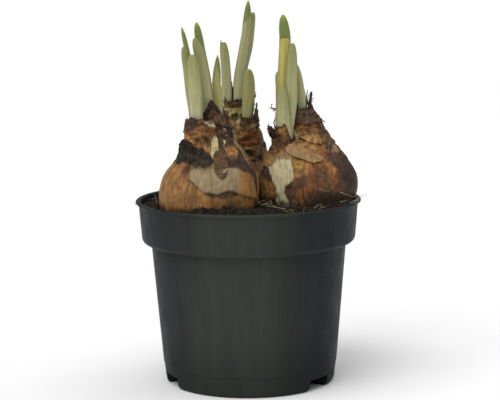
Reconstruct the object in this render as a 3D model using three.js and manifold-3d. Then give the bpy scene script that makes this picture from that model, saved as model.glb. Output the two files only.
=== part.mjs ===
// Three sprouting daffodil bulbs in a round nursery pot filled with peat.
// Millimetres, +Z up. The origin is on the pot's axis, in the plane that its feet stand on.
// Heights of bulbs and leaves are given above the pot's rim, and angles start at +X.
import * as THREE from 'three';
import { mergeVertices } from 'three/addons/utils/BufferGeometryUtils.js';
import Module from 'manifold-3d';

const wasm = await Module();
wasm.setup();

// Pot: a common 12 cm nursery pot
const RIM_RADIUS = 60;
const POT_HEIGHT = 97.8;
const WALL = 1.2;
const LIP_DEPTH = 1.3;
const COLLAR_TOP_RADIUS = 58.5;
const COLLAR_LOW_RADIUS = 57.0;
const COLLAR_DEPTH = 19.6;
const SHOULDER_ROUND = 3.4;
const NECK_RADIUS = 52.0;
const STEP_RADIUS = 46.35;
const STEP_HEIGHT = 10.6;
const STEP_RELIEF = 0.3;
const BASE_RADIUS = 45.4;
const POT_SIDES = 48;

// Feet: three hollow blocks round a raised floor, with a notch between neighbours
const FOOT_HEIGHT = 6.0;
const FOOT_INNER_RADIUS = 35;
const FOOT_ROUND = 2.4;
const NOTCH_ANGLE = 20;
const FIRST_NOTCH = -37;
const FEET = 3;
const DRAIN_RADIUS = 3.5;
const DRAIN_RING_RADIUS = 20;

const DRAIN_SIDES = 10;

// Peat: crumbs on its surface, and low banks given as centre x and y, reach and height
const SOIL_DROP = 2.6;
const SOIL_SIDES = 36;
const SOIL_RINGS = 7;
const SOIL_EDGE_ROUND = 0.8;
const CRUMB_HEIGHT = 0.54;
const BANKS = [[-21, -48, 12, 2.6], [52, -20, 9, 2.4]];

// Gap left where two pieces touch, and round the foot of a leaf
const GAP = 0.3;
const SOCKET_GAP = 0.4;

// Bulbs: the folds and lumps of the skin fade in between two heights above the rim
const BODY_SIDES = 32;
const NOSE_SIDES = 18;
const BODY_STEP = 4.8;
const NOSE_STEP = 5;
const SKIN_FROM = -6;
const SKIN_FULL = 4;
const NOSE_RELIEF = 0.6;

// Torn papery layers: thickness, depth of the tears, the turn that one fades out over, depth of its foot
const TORN_LAYER = 0.9;
const TEAR_DEPTH = 1.3;
const TORN_FADE = 30;
const TORN_FOOT = 1.5;
const TORN_SUNK = 1.2;
const TORN_HIDDEN = 0.6;

// Flaps of skin on a bulb's body: degrees between columns, rows, and how deep the back lies
const FLAP_STEP = 9;
const FLAP_ROWS = 3;
const FLAP_SUNK = 0.9;
const FLAP_CORNER_RISE = 3;

// Leaves: sides round a blade, height between its rings, and the turns that round its tip off
const LEAF_SIDES = 8;
const LEAF_STEP = 9;
const TIP_TURNS = [30, 55, 74, 86];
const TIP_WIDTH = 0.7;
const TIP_THINNING = 0.4;
const THROAT_SIDES = 14;

// Hollows for the bulbs in the peat: plain, so they have fewer sides and more slack than the folds need
const HOLLOW_SIDES = 20;
const HOLLOW_SLACK = 0.9;
const HOLLOW_TOP = 6;

// Loose roots
const ROOT_SIDES = 6;
const STEPS_A_POINT = 2;

// Column tables: height above the rim, centre x, centre y, half width in x, half width in y
const LEFT_BULB = {
  name: 'bulb_left',
  seed: 1.3,
  body: [
    [-22, -21, -20, 7, 7],
    [-16, -21, -20, 15.5, 15],
    [-8, -21, -20, 22.3, 21.5],
    [0, -21, -20, 25.2, 24.4],
    [7, -20.9, -20, 25.8, 24.8],
    [13, -20.4, -20, 25, 23.6],
    [18, -19.6, -19.8, 23.2, 21.2],
    [23, -19.4, -19.5, 19.9, 17.2],
    [28, -19.8, -19, 16.6, 13.6],
    [34, -20.6, -18.4, 13.6, 10.4],
    [39, -21, -17.8, 9.5, 7],
  ],
  noses: [
    {
      rows: [
        [24, -25.5, -20, 9.4, 9.4],
        [34, -26, -20.8, 7.4, 7.7],
        [40, -26.6, -21.2, 6.3, 6.6],
        [47, -27, -21.4, 6, 5.8],
      ],
      top: 44.2,
      peaks: [{ at: 200, height: 2.2, width: 30 }, { at: 20, height: 1.5, width: 35 }],
      throat: { x: -26.9, y: -21.2, rx: 4.5, ry: 4.6, floor: 33 },
      seed: 2.1,
      torn: [
        { low: 33, high: 40.5, lift: 0.9, at: 275, half: 105 },
        { low: 27, high: 34, lift: 1, at: 205, half: 60 },
      ],
    },
    {
      rows: [
        [26, -15, -17.5, 9.2, 9],
        [36, -15.3, -15.5, 8.6, 8.2],
        [44, -16.6, -13.8, 7.2, 6.8],
        [54, -17.6, -12.6, 5.6, 5.4],
      ],
      top: 48,
      peaks: [{ at: 262, height: 6.5, width: 42 }, { at: 90, height: 2.5, width: 50 }],
      throat: { x: -17.7, y: -12.4, rx: 4.6, ry: 3.9, floor: 36 },
      seed: 3.7,
      torn: [
        { low: 37, high: 44.5, lift: 1.2, at: 275, half: 95 },
        { low: 30, high: 36.5, lift: 1.1, at: 310, half: 70 },
      ],
    },
  ],
  flaps: [
    { from: 238, to: 318, low: 6, high: 20.5, slope: 0, taper: 0.1, lift: 0.5, wave: 2.4, seed: 0.4 },
  ],
};

const RIGHT_BULB = {
  name: 'bulb_right',
  seed: 4.9,
  body: [
    [-22, 31, 2, 7, 7],
    [-16, 31.3, 2, 15, 14.6],
    [-8, 31.6, 2, 22, 21],
    [0, 31.8, 2, 24.8, 23.8],
    [7, 32.3, 2, 25.5, 24.4],
    [13, 32.2, 2, 25, 23.4],
    [18, 31.5, 2, 23.1, 21.2],
    [24, 30.6, 2, 19.8, 17.4],
    [28, 29.8, 2.2, 16.8, 13.6],
    [31, 29.2, 2.4, 12.6, 9.6],
  ],
  noses: [
    {
      rows: [
        [18, 17.2, -1, 9.4, 9.6],
        [28, 18, -1.6, 7.6, 8.2],
        [34, 18.8, -2, 6.8, 7.6],
        [40, 19, -2, 6.4, 7.2],
      ],
      top: 33.5,
      peaks: [{ at: 185, height: 5.2, width: 75 }, { at: 235, height: 2.4, width: 30 }],
      throat: { x: 19.5, y: -1.7, rx: 4.7, ry: 6.2, floor: 23 },
      seed: 5.3,
      torn: [{ low: 25, high: 32.5, lift: 1.4, at: 190, half: 70 }],
    },
    {
      rows: [
        [16, 33.2, 2.6, 17, 14.6],
        [22, 33.7, 3, 15, 12.6],
        [30, 34.2, 4, 11.4, 9.7],
        [36, 33.2, 4.6, 9.3, 8.2],
        [42, 31.8, 5, 7.4, 6.8],
        [50, 29.8, 5.3, 5, 5],
      ],
      top: 46.8,
      peaks: [{ at: 15, height: 5.2, width: 40 }, { at: 150, height: 1.5, width: 40 }],
      throat: { x: 29.5, y: 5.2, rx: 2.9, ry: 2.7, floor: 37 },
      seed: 6.1,
      torn: [
        { low: 36, high: 43, lift: 0.7, at: 280, half: 120 },
        { low: 28.5, high: 35.5, lift: 0.7, at: 290, half: 105 },
        { low: 22, high: 28, lift: 0.8, at: 320, half: 75 },
      ],
    },
  ],
  flaps: [
    { from: 236, to: 304, low: 19.5, high: 26, slope: -6, taper: 0, lift: 1.2, wave: 1, seed: 2.2 },
    { from: 190, to: 224, low: 1, high: 14, slope: 0, taper: 0.5, lift: 0.8, wave: 0.6, seed: 3.1 },
  ],
};

const BACK_BULB = {
  name: 'bulb_back',
  seed: 8.2,
  body: [
    [-22, -5, 31, 6, 6],
    [-15, -5, 31, 13.4, 13.2],
    [-7, -5, 31, 18, 17.6],
    [2, -5, 31, 19.9, 19.4],
    [8, -4.9, 31, 19.8, 19.4],
    [15, -4.4, 30.5, 17.8, 17.4],
    [21, -4, 29.5, 16, 15.2],
    [27, -3.8, 28.5, 14, 12.6],
    [33, -3.6, 27, 11.4, 9.8],
    [38, -3.6, 26, 8, 6.6],
  ],
  noses: [
    {
      rows: [
        [26, -6.6, 29.2, 8.6, 8.4],
        [35, -7.3, 28.8, 7, 6.8],
        [42, -7.6, 28.6, 6.3, 6.2],
        [52, -7.8, 28.5, 5.8, 5.7],
      ],
      top: 47.6,
      peaks: [{ at: 215, height: 3.4, width: 18 }, { at: 60, height: 2, width: 45 }],
      throat: { x: -7.8, y: 28.5, rx: 4.7, ry: 4.6, floor: 36 },
      seed: 9.4,
      torn: [{ low: 38.5, high: 45, lift: 1.1, at: 270, half: 120 }],
    },
    {
      rows: [
        [18, -1, 25.4, 10.4, 9.2],
        [28, 0, 23, 8.2, 7.2],
        [35, 0.7, 21.6, 6.8, 6.1],
        [46, 1, 21, 5.6, 5],
      ],
      top: 39.5,
      peaks: [{ at: 345, height: 7, width: 34 }, { at: 200, height: 1.5, width: 40 }],
      throat: { x: 0.7, y: 21, rx: 4.1, ry: 2.9, floor: 30 },
      seed: 10.7,
      torn: [
        { low: 30, high: 37, lift: 1.2, at: 290, half: 120 },
        { low: 23.5, high: 29.5, lift: 1.5, at: 285, half: 70 },
      ],
    },
  ],
  flaps: [],
};

// Leaves: height above the rim, centre x and width at each row, then the tip's height and x.
// y is the depth of the blade at its foot, and bow is how far its tip lies behind that.
const LEAVES = [
  { name: 'leaf_left_front', y: -23.3, bow: -1.6, thick: 2.5, cup: 0.7, blunt: 0.75,
    rows: [[33.5, -26.5, 5.4], [45, -26.4, 7], [58, -26.8, 7.5], [70, -27.1, 6.3]], tip: [78.6, -27.8] },
  { name: 'leaf_left_spear', y: -20.9, bow: 0.2, thick: 1.5, cup: 0.3, blunt: 1.2,
    rows: [[33.5, -26.6, 4.6], [52, -26.9, 4], [66, -28.6, 3.2], [78, -30.2, 2.9], [84, -31.3, 2.5]],
    tip: [92.5, -33.1] },
  { name: 'leaf_left_rear', y: -18.9, bow: 1.8, thick: 2, cup: 0.3, blunt: 0.8,
    rows: [[33.5, -26.8, 4.8], [47, -27.2, 6], [60, -28.6, 6.5], [72, -30.2, 5.7]], tip: [82.4, -32.1] },
  { name: 'leaf_middle_sheath', y: -13.9, bow: -1.2, thick: 2, cup: 0.5, blunt: 1.1,
    rows: [[36.5, -19.4, 4.4], [49, -19.7, 5.2], [60, -21.2, 6.2], [70, -22.9, 6.4], [77.5, -24.2, 5.8]],
    tip: [86.6, -26.7] },
  { name: 'leaf_middle_inner', y: -11.3, bow: 1, thick: 2, cup: 0.3, blunt: 0.9,
    rows: [[36.5, -19.2, 4.2], [50, -19.4, 5], [65, -21.6, 5.8], [76, -23.4, 5.6], [84, -24.2, 4.4]],
    tip: [94.3, -25.8] },
  { name: 'leaf_middle_small', y: -12.6, bow: -1.6, thick: 1.9, cup: 0.2, blunt: 1.5,
    rows: [[36.5, -14.9, 2.5], [50, -14.8, 2.8], [57, -15.3, 4.3], [62.5, -15.8, 4.5]], tip: [77.6, -15] },
  { name: 'leaf_back_left', y: 26.6, bow: -1.6, thick: 2.1, cup: 0.4, blunt: 0.7,
    rows: [[36.5, -10, 3.7], [49, -10.3, 4], [60, -11.1, 5.6], [70, -11.5, 5.1]], tip: [82.1, -12.1] },
  { name: 'leaf_back_left_inner', y: 29.4, bow: -0.6, thick: 1.6, cup: 0.2, blunt: 1.5,
    rows: [[36.5, -10, 3.6], [55, -11, 3.8], [70, -12.4, 3.2]], tip: [83, -13.9] },
  { name: 'leaf_back_tall', y: 27.4, bow: 1, thick: 2.2, cup: 0.5, blunt: 1.1,
    rows: [[36.5, -5.6, 3.7], [50, -5.3, 4.6], [62, -4.4, 5.6], [75, -2, 5.4], [87, 0.1, 4.9]],
    tip: [104.1, 1.3] },
  { name: 'leaf_back_tall_rear', y: 30.2, bow: 2.6, thick: 1.9, cup: 0.2, blunt: 0.7,
    rows: [[36.5, -5.5, 3.7], [52, -4.8, 4.4], [67, -1.8, 4.8], [79, 1, 4.8], [90, 2.9, 3.8]],
    tip: [97.7, 3.9] },
  { name: 'leaf_back_right', y: 21.2, bow: -1.6, thick: 2.8, cup: 0.6, blunt: 0.85,
    rows: [[30.5, 0.4, 4.8], [41, 0.3, 5.8], [50, 0.8, 6.9], [57, 1, 6.8]], tip: [67.7, 1.1] },
  { name: 'leaf_right_front', y: -5.9, bow: -1.4, thick: 2.2, cup: 0.6, blunt: 0.9,
    rows: [[23.5, 20.6, 4.2], [33, 20.4, 6.2], [41, 19.2, 7.8], [49, 18.7, 6.6]], tip: [59.5, 18.8] },
  { name: 'leaf_right_wide', y: -3.2, bow: -0.6, thick: 2, cup: 0.4, blunt: 0.95,
    rows: [[23.5, 20.4, 5], [36, 22, 4.6], [50, 23.6, 5.4], [62, 23.5, 6.1], [70, 23.9, 5.5]],
    tip: [82.7, 24.4] },
  { name: 'leaf_right_sheath', y: -0.9, bow: 0.3, thick: 1.7, cup: 0.3, blunt: 0.3,
    rows: [[23.5, 19.4, 5.4], [40, 18.9, 5.6], [60, 19, 6], [76, 20, 6.2]], tip: [84.9, 20.4] },
  { name: 'leaf_right_tall', y: 1.3, bow: 0.8, thick: 2, cup: 0.2, blunt: 0.95,
    rows: [[23.5, 19.2, 5], [40, 18.9, 5.6], [60, 19.2, 6], [76, 20.4, 6.5], [86, 20.5, 5.9]],
    tip: [97.3, 19.4] },
  { name: 'leaf_right_rear', y: 3.3, bow: 1.8, thick: 1.4, cup: 0.1, blunt: 0.8,
    rows: [[23.5, 18.4, 3.6], [42, 17.8, 4.4], [53, 17.5, 4.6], [60, 17.2, 4]], tip: [67, 16.5] },
  { name: 'leaf_right_side', y: 5.2, bow: 1, thick: 2.3, cup: 0.4, blunt: 1.2,
    rows: [[37.5, 29.6, 3.4], [47, 29.5, 3.9], [54, 29.1, 4.3], [60, 28.3, 3.8]], tip: [71, 26.7] },
];

// Loose roots on the peat: points of the path as x, y and height above the rim
const ROOTS = [
  { name: 'root_upright', radius: 0.5,
    points: [[5.6, -6, -6], [5.4, -6.2, -1], [4.9, -5.6, 5], [5.2, -4.2, 11], [6.2, -3.4, 15.5]] },
  { name: 'root_loop', radius: 0.45,
    points: [[9.5, -10, -6], [9.6, -9.8, -1], [7.4, -12, 0.4], [5.6, -16, -0.2], [8.5, -19, -0.4],
      [12.4, -17, -0.2], [11, -13.6, 0.3]] },
  { name: 'root_long', radius: 0.5,
    points: [[7, -23.5, -6], [7.2, -23.6, -1.4], [10, -24.6, -0.6], [15, -27.4, -1], [19.5, -31.2, -1.2],
      [23.6, -35, -1.5]] },
  { name: 'root_right', radius: 0.5,
    points: [[53.5, -12, -6], [53.8, -13, -0.6], [52.4, -17.6, 1], [49.6, -22.4, 1.4], [45, -27, 0.4]] },
];

const COLOURS = {
  pot: 0x393d3c,
  soil: 0x2b2620,
  bulb_left: 0x8b683f,
  bulb_right: 0x7c5637,
  bulb_back: 0x4c3a28,
  leaf: 0xa09c6b,
  root: 0xa59a7c,
};

const toRadians = THREE.MathUtils.degToRad;

// A repeatable number from 0 to 1 for each index and seed
function scatter(index, seed) {
  const value = Math.sin(index * 12.9898 + seed * 78.233) * 43758.5453;
  return value - Math.floor(value);
}

// Smooth values at a height between the rows of a column table
function between(rows, height) {
  const last = rows.length - 1;
  const found = rows.findIndex((row) => row[0] > height);
  const upper = found === -1 ? last : Math.max(found, 1);
  const slope = (index, column) => {
    const next = rows[Math.min(index + 1, last)];
    const previous = rows[Math.max(index - 1, 0)];
    return (next[column] - previous[column]) / (next[0] - previous[0]);
  };
  const low = rows[upper - 1];
  const high = rows[upper];
  const span = high[0] - low[0];
  const t = THREE.MathUtils.clamp((height - low[0]) / span, 0, 1);
  const ease = t * t * (3 - 2 * t);
  return low.slice(1).map((start, offset) => {
    const column = offset + 1;
    const leave = span * slope(upper - 1, column) * t * (1 - t) * (1 - t);
    const arrive = span * slope(upper, column) * t * t * (t - 1);
    return start + (high[column] - start) * ease + leave + arrive;
  });
}

// Heights from low to high in even steps of about the given size
function evenHeights(low, high, step) {
  const count = Math.max(1, Math.round((high - low) / step));
  return Array.from({ length: count + 1 }, (_, index) => low + (high - low) * (index / count));
}

// A geometry from points and triangles that already share their vertices
function indexedGeometry(points, triangles) {
  const coordinates = points.flatMap((point) => point.toArray());
  const geometry = new THREE.BufferGeometry();
  geometry.setAttribute('position', new THREE.Float32BufferAttribute(coordinates, 3));
  geometry.setIndex(triangles);
  return geometry;
}

// A closed solid through rings of equal count, with a fan over each end
function loft(rings) {
  const sides = rings[0].length;
  const points = rings.flat();
  const triangles = [];
  for (let row = 0; row + 1 < rings.length; row += 1) {
    for (let side = 0; side < sides; side += 1) {
      const a = row * sides + side;
      const b = row * sides + ((side + 1) % sides);
      triangles.push(a, b, b + sides, a, b + sides, a + sides);
    }
  }
  const centre = (ring) => ring.reduce((sum, p) => sum.add(p), new THREE.Vector3()).divideScalar(sides);
  const foot = points.push(centre(rings[0])) - 1;
  const head = points.push(centre(rings[rings.length - 1])) - 1;
  const topStart = (rings.length - 1) * sides;
  for (let side = 0; side < sides; side += 1) {
    const next = (side + 1) % sides;
    triangles.push(foot, next, side, head, topStart + side, topStart + next);
  }
  return indexedGeometry(points, triangles);
}

// A closed ring whose cross-section is given at each place round it
function ringLoft(sections) {
  const around = sections.length;
  const sides = sections[0].length;
  const triangles = [];
  for (let place = 0; place < around; place += 1) {
    const here = place * sides;
    const there = ((place + 1) % around) * sides;
    for (let side = 0; side < sides; side += 1) {
      const next = (side + 1) % sides;
      triangles.push(here + side, there + side, there + next, here + side, there + next, here + next);
    }
  }
  return indexedGeometry(sections.flat(), triangles);
}

// A closed slab between two grids of points of the same size
function slab(outer, inner) {
  const rows = outer.length;
  const columns = outer[0].length;
  const points = [...outer.flat(), ...inner.flat()];
  const back = rows * columns;
  const triangles = [];
  for (let row = 0; row + 1 < rows; row += 1) {
    for (let column = 0; column + 1 < columns; column += 1) {
      const a = row * columns + column;
      const b = a + 1;
      const c = a + columns;
      triangles.push(a, b, c + 1, a, c + 1, c);
      triangles.push(back + a, back + c + 1, back + b, back + a, back + c, back + c + 1);
    }
  }
  const along = Array.from({ length: columns - 1 }, (_, column) => column);
  const across = Array.from({ length: rows - 1 }, (_, row) => row);
  const border = [
    ...along,
    ...across.map((row) => row * columns + columns - 1),
    ...along.map((column) => rows * columns - 1 - column),
    ...across.map((row) => (rows - 1 - row) * columns),
  ];
  border.forEach((a, index) => {
    const b = border[(index + 1) % border.length];
    triangles.push(a, back + a, back + b, a, back + b, b);
  });
  return indexedGeometry(points, triangles);
}

// Twice-wound and flat triangles are left out, and a shape that is inside out is turned
function solidFrom(geometry) {
  const bare = geometry.clone();
  bare.deleteAttribute('normal');
  bare.deleteAttribute('uv');
  const merged = mergeVertices(bare, 1e-4);
  const positions = merged.getAttribute('position').array;
  const index = merged.getIndex().array;
  const corner = (i) => new THREE.Vector3().fromArray(positions, index[i] * 3);
  const kept = [];
  let volume = 0;
  for (let i = 0; i < index.length; i += 3) {
    const [a, b, c] = [index[i], index[i + 1], index[i + 2]];
    if (a !== b && b !== c && c !== a) {
      kept.push(a, b, c);
      volume += corner(i).dot(corner(i + 1).cross(corner(i + 2)));
    }
  }
  if (volume < 0) {
    kept.reverse();
  }
  const mesh = new wasm.Mesh({
    numProp: 3,
    vertProperties: new Float32Array(positions),
    triVerts: new Uint32Array(kept),
  });
  return new wasm.Manifold(mesh);
}

const join = (solids) => solids.reduce((sum, solid) => sum.add(solid));
const cut = (solid, tools) => tools.reduce((rest, tool) => rest.subtract(tool), solid);

// The largest body of a solid, as a geometry for its mesh
function geometryFrom(solid) {
  const bodies = solid.decompose();
  const largest = bodies.reduce((best, body) => (body.volume() > best.volume() ? body : best));
  const { vertProperties, triVerts } = largest.getMesh();
  const geometry = new THREE.BufferGeometry();
  geometry.setAttribute('position', new THREE.BufferAttribute(new Float32Array(vertProperties), 3));
  geometry.setIndex(new THREE.BufferAttribute(new Uint32Array(triVerts), 1));
  return geometry;
}

// Lathe and plain shapes that stand along +Z
function latheSolid(outline, sides) {
  const profile = outline.map(([radius, height]) => new THREE.Vector2(radius, height));
  return solidFrom(new THREE.LatheGeometry(profile, sides).rotateX(Math.PI / 2));
}

function postSolid(x, y, radius, low, high, sides) {
  const geometry = new THREE.CylinderGeometry(radius, radius, high - low, sides);
  geometry.rotateX(Math.PI / 2);
  geometry.translate(x, y, (low + high) / 2);
  return solidFrom(geometry);
}

// A wedge about the pot's axis, centred on an angle in degrees
function wedgeSolid(centre, half, top) {
  const shape = new THREE.Shape();
  const inner = FOOT_INNER_RADIUS / 2;
  shape.absarc(0, 0, RIM_RADIUS, toRadians(centre - half), toRadians(centre + half), false);
  shape.absarc(0, 0, inner, toRadians(centre + half), toRadians(centre - half), true);
  const geometry = new THREE.ExtrudeGeometry(shape, {
    depth: top + WALL,
    bevelEnabled: false,
    curveSegments: 3,
  });
  geometry.translate(0, 0, -WALL);
  return solidFrom(geometry);
}

// The outer radius of the collar at a height above the feet
function collarRadius(height) {
  const low = POT_HEIGHT - COLLAR_DEPTH;
  const high = POT_HEIGHT - LIP_DEPTH;
  return THREE.MathUtils.mapLinear(height, low, high, COLLAR_LOW_RADIUS, COLLAR_TOP_RADIUS);
}

// The pot's outline moved inwards by an inset: the outer wall at 0 and the inner wall at WALL
function wallOutline(inset, top) {
  const arc = [0, 45, 90].map(toRadians);
  const base = arc.map((angle) => [
    BASE_RADIUS - FOOT_ROUND + FOOT_ROUND * Math.sin(angle) - inset,
    FOOT_ROUND - FOOT_ROUND * Math.cos(angle) + inset,
  ]);
  const shoulderLow = POT_HEIGHT - COLLAR_DEPTH - SHOULDER_ROUND;
  const shoulder = arc.slice(1).map((angle) => [
    NECK_RADIUS + (COLLAR_LOW_RADIUS - NECK_RADIUS) * Math.sin(angle) - inset,
    shoulderLow + SHOULDER_ROUND * (1 - Math.cos(angle)) + inset,
  ]);
  return [
    ...base,
    [STEP_RADIUS - inset, STEP_HEIGHT],
    [STEP_RADIUS + STEP_RELIEF - inset, STEP_HEIGHT + STEP_RELIEF],
    [NECK_RADIUS - inset, shoulderLow + inset],
    ...shoulder,
    [collarRadius(top) - inset, top],
  ];
}

// The raised floor and the notches between the feet, as tools to cut from below
function footTools(inset) {
  const top = FOOT_HEIGHT + inset;
  const half = NOTCH_ANGLE / 2 + THREE.MathUtils.radToDeg(inset / FOOT_INNER_RADIUS);
  const tools = [postSolid(0, 0, FOOT_INNER_RADIUS + inset, -WALL, top, POT_SIDES)];
  for (let foot = 0; foot < FEET; foot += 1) {
    tools.push(wedgeSolid(FIRST_NOTCH + (360 / FEET) * foot, half, top));
  }
  return tools;
}

function potSolid() {
  const lipLow = POT_HEIGHT - LIP_DEPTH;
  const outer = latheSolid([
    [0, 0],
    ...wallOutline(0, lipLow),
    [RIM_RADIUS, lipLow],
    [RIM_RADIUS, POT_HEIGHT],
    [0, POT_HEIGHT],
  ], POT_SIDES);
  const inner = latheSolid([
    [0, WALL],
    ...wallOutline(WALL, POT_HEIGHT + WALL),
    [0, POT_HEIGHT + WALL],
  ], POT_SIDES);
  const shell = cut(outer, footTools(0)).subtract(cut(inner, footTools(WALL)));
  const drains = [];
  for (let foot = 0; foot < FEET; foot += 1) {
    const angle = toRadians(FIRST_NOTCH + (360 / FEET) * foot);
    const x = DRAIN_RING_RADIUS * Math.cos(angle);
    const y = DRAIN_RING_RADIUS * Math.sin(angle);
    drains.push(postSolid(x, y, DRAIN_RADIUS, 0, FOOT_HEIGHT + 2 * WALL, DRAIN_SIDES));
  }
  return cut(shell, drains);
}

// Papery folds and soft lumps of a bulb's skin, which fade out under the peat
function skinRelief(seed, angle, height) {
  const folds = 0.32 * Math.sin(11 * angle + seed) + 0.18 * Math.sin(17 * angle + 2.1 * seed);
  const lumps = 0.45 * Math.sin(3 * angle + 1.7 * seed) + 0.3 * Math.sin(5 * angle - seed + 0.12 * height);
  return (folds + lumps) * THREE.MathUtils.smoothstep(height, SKIN_FROM, SKIN_FULL);
}

// Degrees between an angle in radians and a direction in degrees, from 0 to 180
function degreesApart(angle, direction) {
  const turned = THREE.MathUtils.radToDeg(angle) - direction + 180;
  return Math.abs(THREE.MathUtils.euclideanModulo(turned, 360) - 180);
}

// A point on a column's surface, moved out by an offset
function columnPoint(rows, angle, height, offset) {
  const [x, y, halfX, halfY] = between(rows, height);
  return new THREE.Vector3(
    x + (halfX + offset) * Math.cos(angle),
    y + (halfY + offset) * Math.sin(angle),
    POT_HEIGHT + height,
  );
}

function ringOf(sides, place) {
  return Array.from({ length: sides }, (_, side) => place((2 * Math.PI * side) / sides, side));
}

function bodySolid(bulb) {
  const low = bulb.body[0][0];
  const high = bulb.body[bulb.body.length - 1][0];
  const rings = evenHeights(low, high, BODY_STEP).map((height) => ringOf(BODY_SIDES, (angle) => (
    columnPoint(bulb.body, angle, height, skinRelief(bulb.seed, angle, height)))));
  return solidFrom(loft(rings));
}

// How far a nose's edge stands up at an angle: its peaks and a ragged tear
function edgeRise(nose, angle, side) {
  const ragged = TEAR_DEPTH * scatter(side, nose.seed);
  return nose.peaks.reduce((rise, peak) => (
    rise + peak.height * Math.max(0, 1 - degreesApart(angle, peak.at) / peak.width)
  ), ragged);
}

function noseSolid(nose) {
  const heights = evenHeights(nose.rows[0][0], nose.top - 2, NOSE_STEP);
  const rings = heights.map((height) => ringOf(NOSE_SIDES, (angle) => (
    columnPoint(nose.rows, angle, height, NOSE_RELIEF * skinRelief(nose.seed, angle, height)))));
  rings.push(ringOf(NOSE_SIDES, (angle, side) => {
    const edge = nose.top + edgeRise(nose, angle, side);
    return columnPoint(nose.rows, angle, edge, 0.3 * scatter(side, nose.seed + 1));
  }));
  return solidFrom(loft(rings));
}

// One torn papery layer round a nose: it stands off at its ragged upper edge, and lies inside the
// nose on the side where it isn't seen
function tornLayerSolid(nose, layer, order) {
  const foot = layer.low + TORN_FOOT;
  const sections = ringOf(NOSE_SIDES, (angle, side) => {
    const past = degreesApart(angle, layer.at) - layer.half;
    const shown = THREE.MathUtils.clamp(1 - past / TORN_FADE, 0, 1);
    const tear = scatter(side, nose.seed + order * 3.1);
    const top = foot + (layer.high - foot) * (0.55 + 0.45 * tear) * shown;
    const lift = (layer.lift + TORN_HIDDEN) * shown * (0.7 + 0.5 * tear) - TORN_HIDDEN;
    return [
      columnPoint(nose.rows, angle, layer.low, -TORN_SUNK),
      columnPoint(nose.rows, angle, layer.low + 0.6, 0.5 * shown - 0.3),
      columnPoint(nose.rows, angle, top, lift + TORN_LAYER / 2),
      columnPoint(nose.rows, angle, top - 0.2, lift - TORN_LAYER / 2),
      columnPoint(nose.rows, angle, layer.low + 2, -TORN_SUNK),
    ];
  });
  return solidFrom(ringLoft(sections));
}

// A point on a flap of dry skin: its lower edge is waved and stands off, and its corners are rounded up
function flapPoint(bulb, flap, along, up, back) {
  const reach = (flap.to - flap.from) * (along - 0.5) * (1 - flap.taper * up);
  const angle = toRadians((flap.from + flap.to) / 2 + reach);
  const wave = flap.wave * Math.sin(3 * Math.PI * along + flap.seed * 4);
  const low = flap.low + wave + FLAP_CORNER_RISE * (2 * along - 1) ** 2;
  const height = low + (flap.high - low) * up + flap.slope * (along - 0.5);
  const pressed = along === 0 || along === 1 || up === 1 ? 0.15 : 1;
  const lift = flap.lift * (1 - 0.6 * up) * pressed + 0.1;
  const skin = skinRelief(bulb.seed, angle, height);
  return columnPoint(bulb.body, angle, height, skin + (back ? -FLAP_SUNK : lift));
}

function flapSolid(bulb, flap) {
  const columns = Math.round((flap.to - flap.from) / FLAP_STEP);
  const grid = (back) => Array.from({ length: FLAP_ROWS + 1 }, (_, row) => (
    Array.from({ length: columns + 1 }, (_unused, column) => (
      flapPoint(bulb, flap, column / columns, row / FLAP_ROWS, back)))));
  return solidFrom(slab(grid(false), grid(true)));
}

// The plain hollow at the top of a nose, which its leaves stand in
function throatSolid(nose) {
  const { x, y, rx, ry, floor } = nose.throat;
  const level = (height, scale) => ringOf(THROAT_SIDES, (angle) => new THREE.Vector3(
    x + rx * scale * Math.cos(angle),
    y + ry * scale * Math.sin(angle),
    POT_HEIGHT + height,
  ));
  return solidFrom(loft([level(floor, 0.8), level(nose.top - 6, 1), level(nose.top + 14, 1.1)]));
}

// One ring round a leaf: a flat oval bent so that its middle stands forward
function leafRing(leaf, height, x, width, fade, grow) {
  const foot = leaf.rows[0][0];
  const along = (height - foot) / (leaf.tip[0] - foot);
  const y = leaf.y + leaf.bow * along * along;
  const half = width / 2 + grow;
  const depth = (leaf.thick / 2) * fade + grow;
  return ringOf(LEAF_SIDES, (angle) => {
    const across = Math.cos(angle);
    const bend = leaf.cup * fade * (1 - across * across);
    return new THREE.Vector3(x + half * across, y + depth * Math.sin(angle) - bend, POT_HEIGHT + height);
  });
}

// A leaf blade with a rounded or pointed tip. Grown by a gap, it is the tool for the leaf's own hole.
function leafSolid(leaf, grow = 0) {
  const foot = leaf.rows[0][0];
  const [shoulder, shoulderX, shoulderWidth] = leaf.rows[leaf.rows.length - 1];
  const [tipHeight, tipX] = leaf.tip;
  const rings = evenHeights(foot, shoulder, LEAF_STEP).map((height) => {
    const [x, width] = between(leaf.rows, height);
    return leafRing(leaf, height, x, width, 1, grow);
  });
  if (grow > 0) {
    const [, x, width] = leaf.rows[0];
    rings.unshift(leafRing(leaf, foot - grow, x, width, 1, grow));
  }
  TIP_TURNS.map(toRadians).forEach((turn) => {
    const rise = Math.sin(turn);
    const height = THREE.MathUtils.lerp(shoulder, tipHeight, rise);
    const x = THREE.MathUtils.lerp(shoulderX, tipX, rise);
    const width = Math.max(TIP_WIDTH, shoulderWidth * Math.cos(turn) ** leaf.blunt);
    const fade = THREE.MathUtils.lerp(TIP_THINNING, 1, Math.cos(turn));
    rings.push(leafRing(leaf, height, x, width, fade, grow));
  });
  return solidFrom(loft(rings));
}

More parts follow.
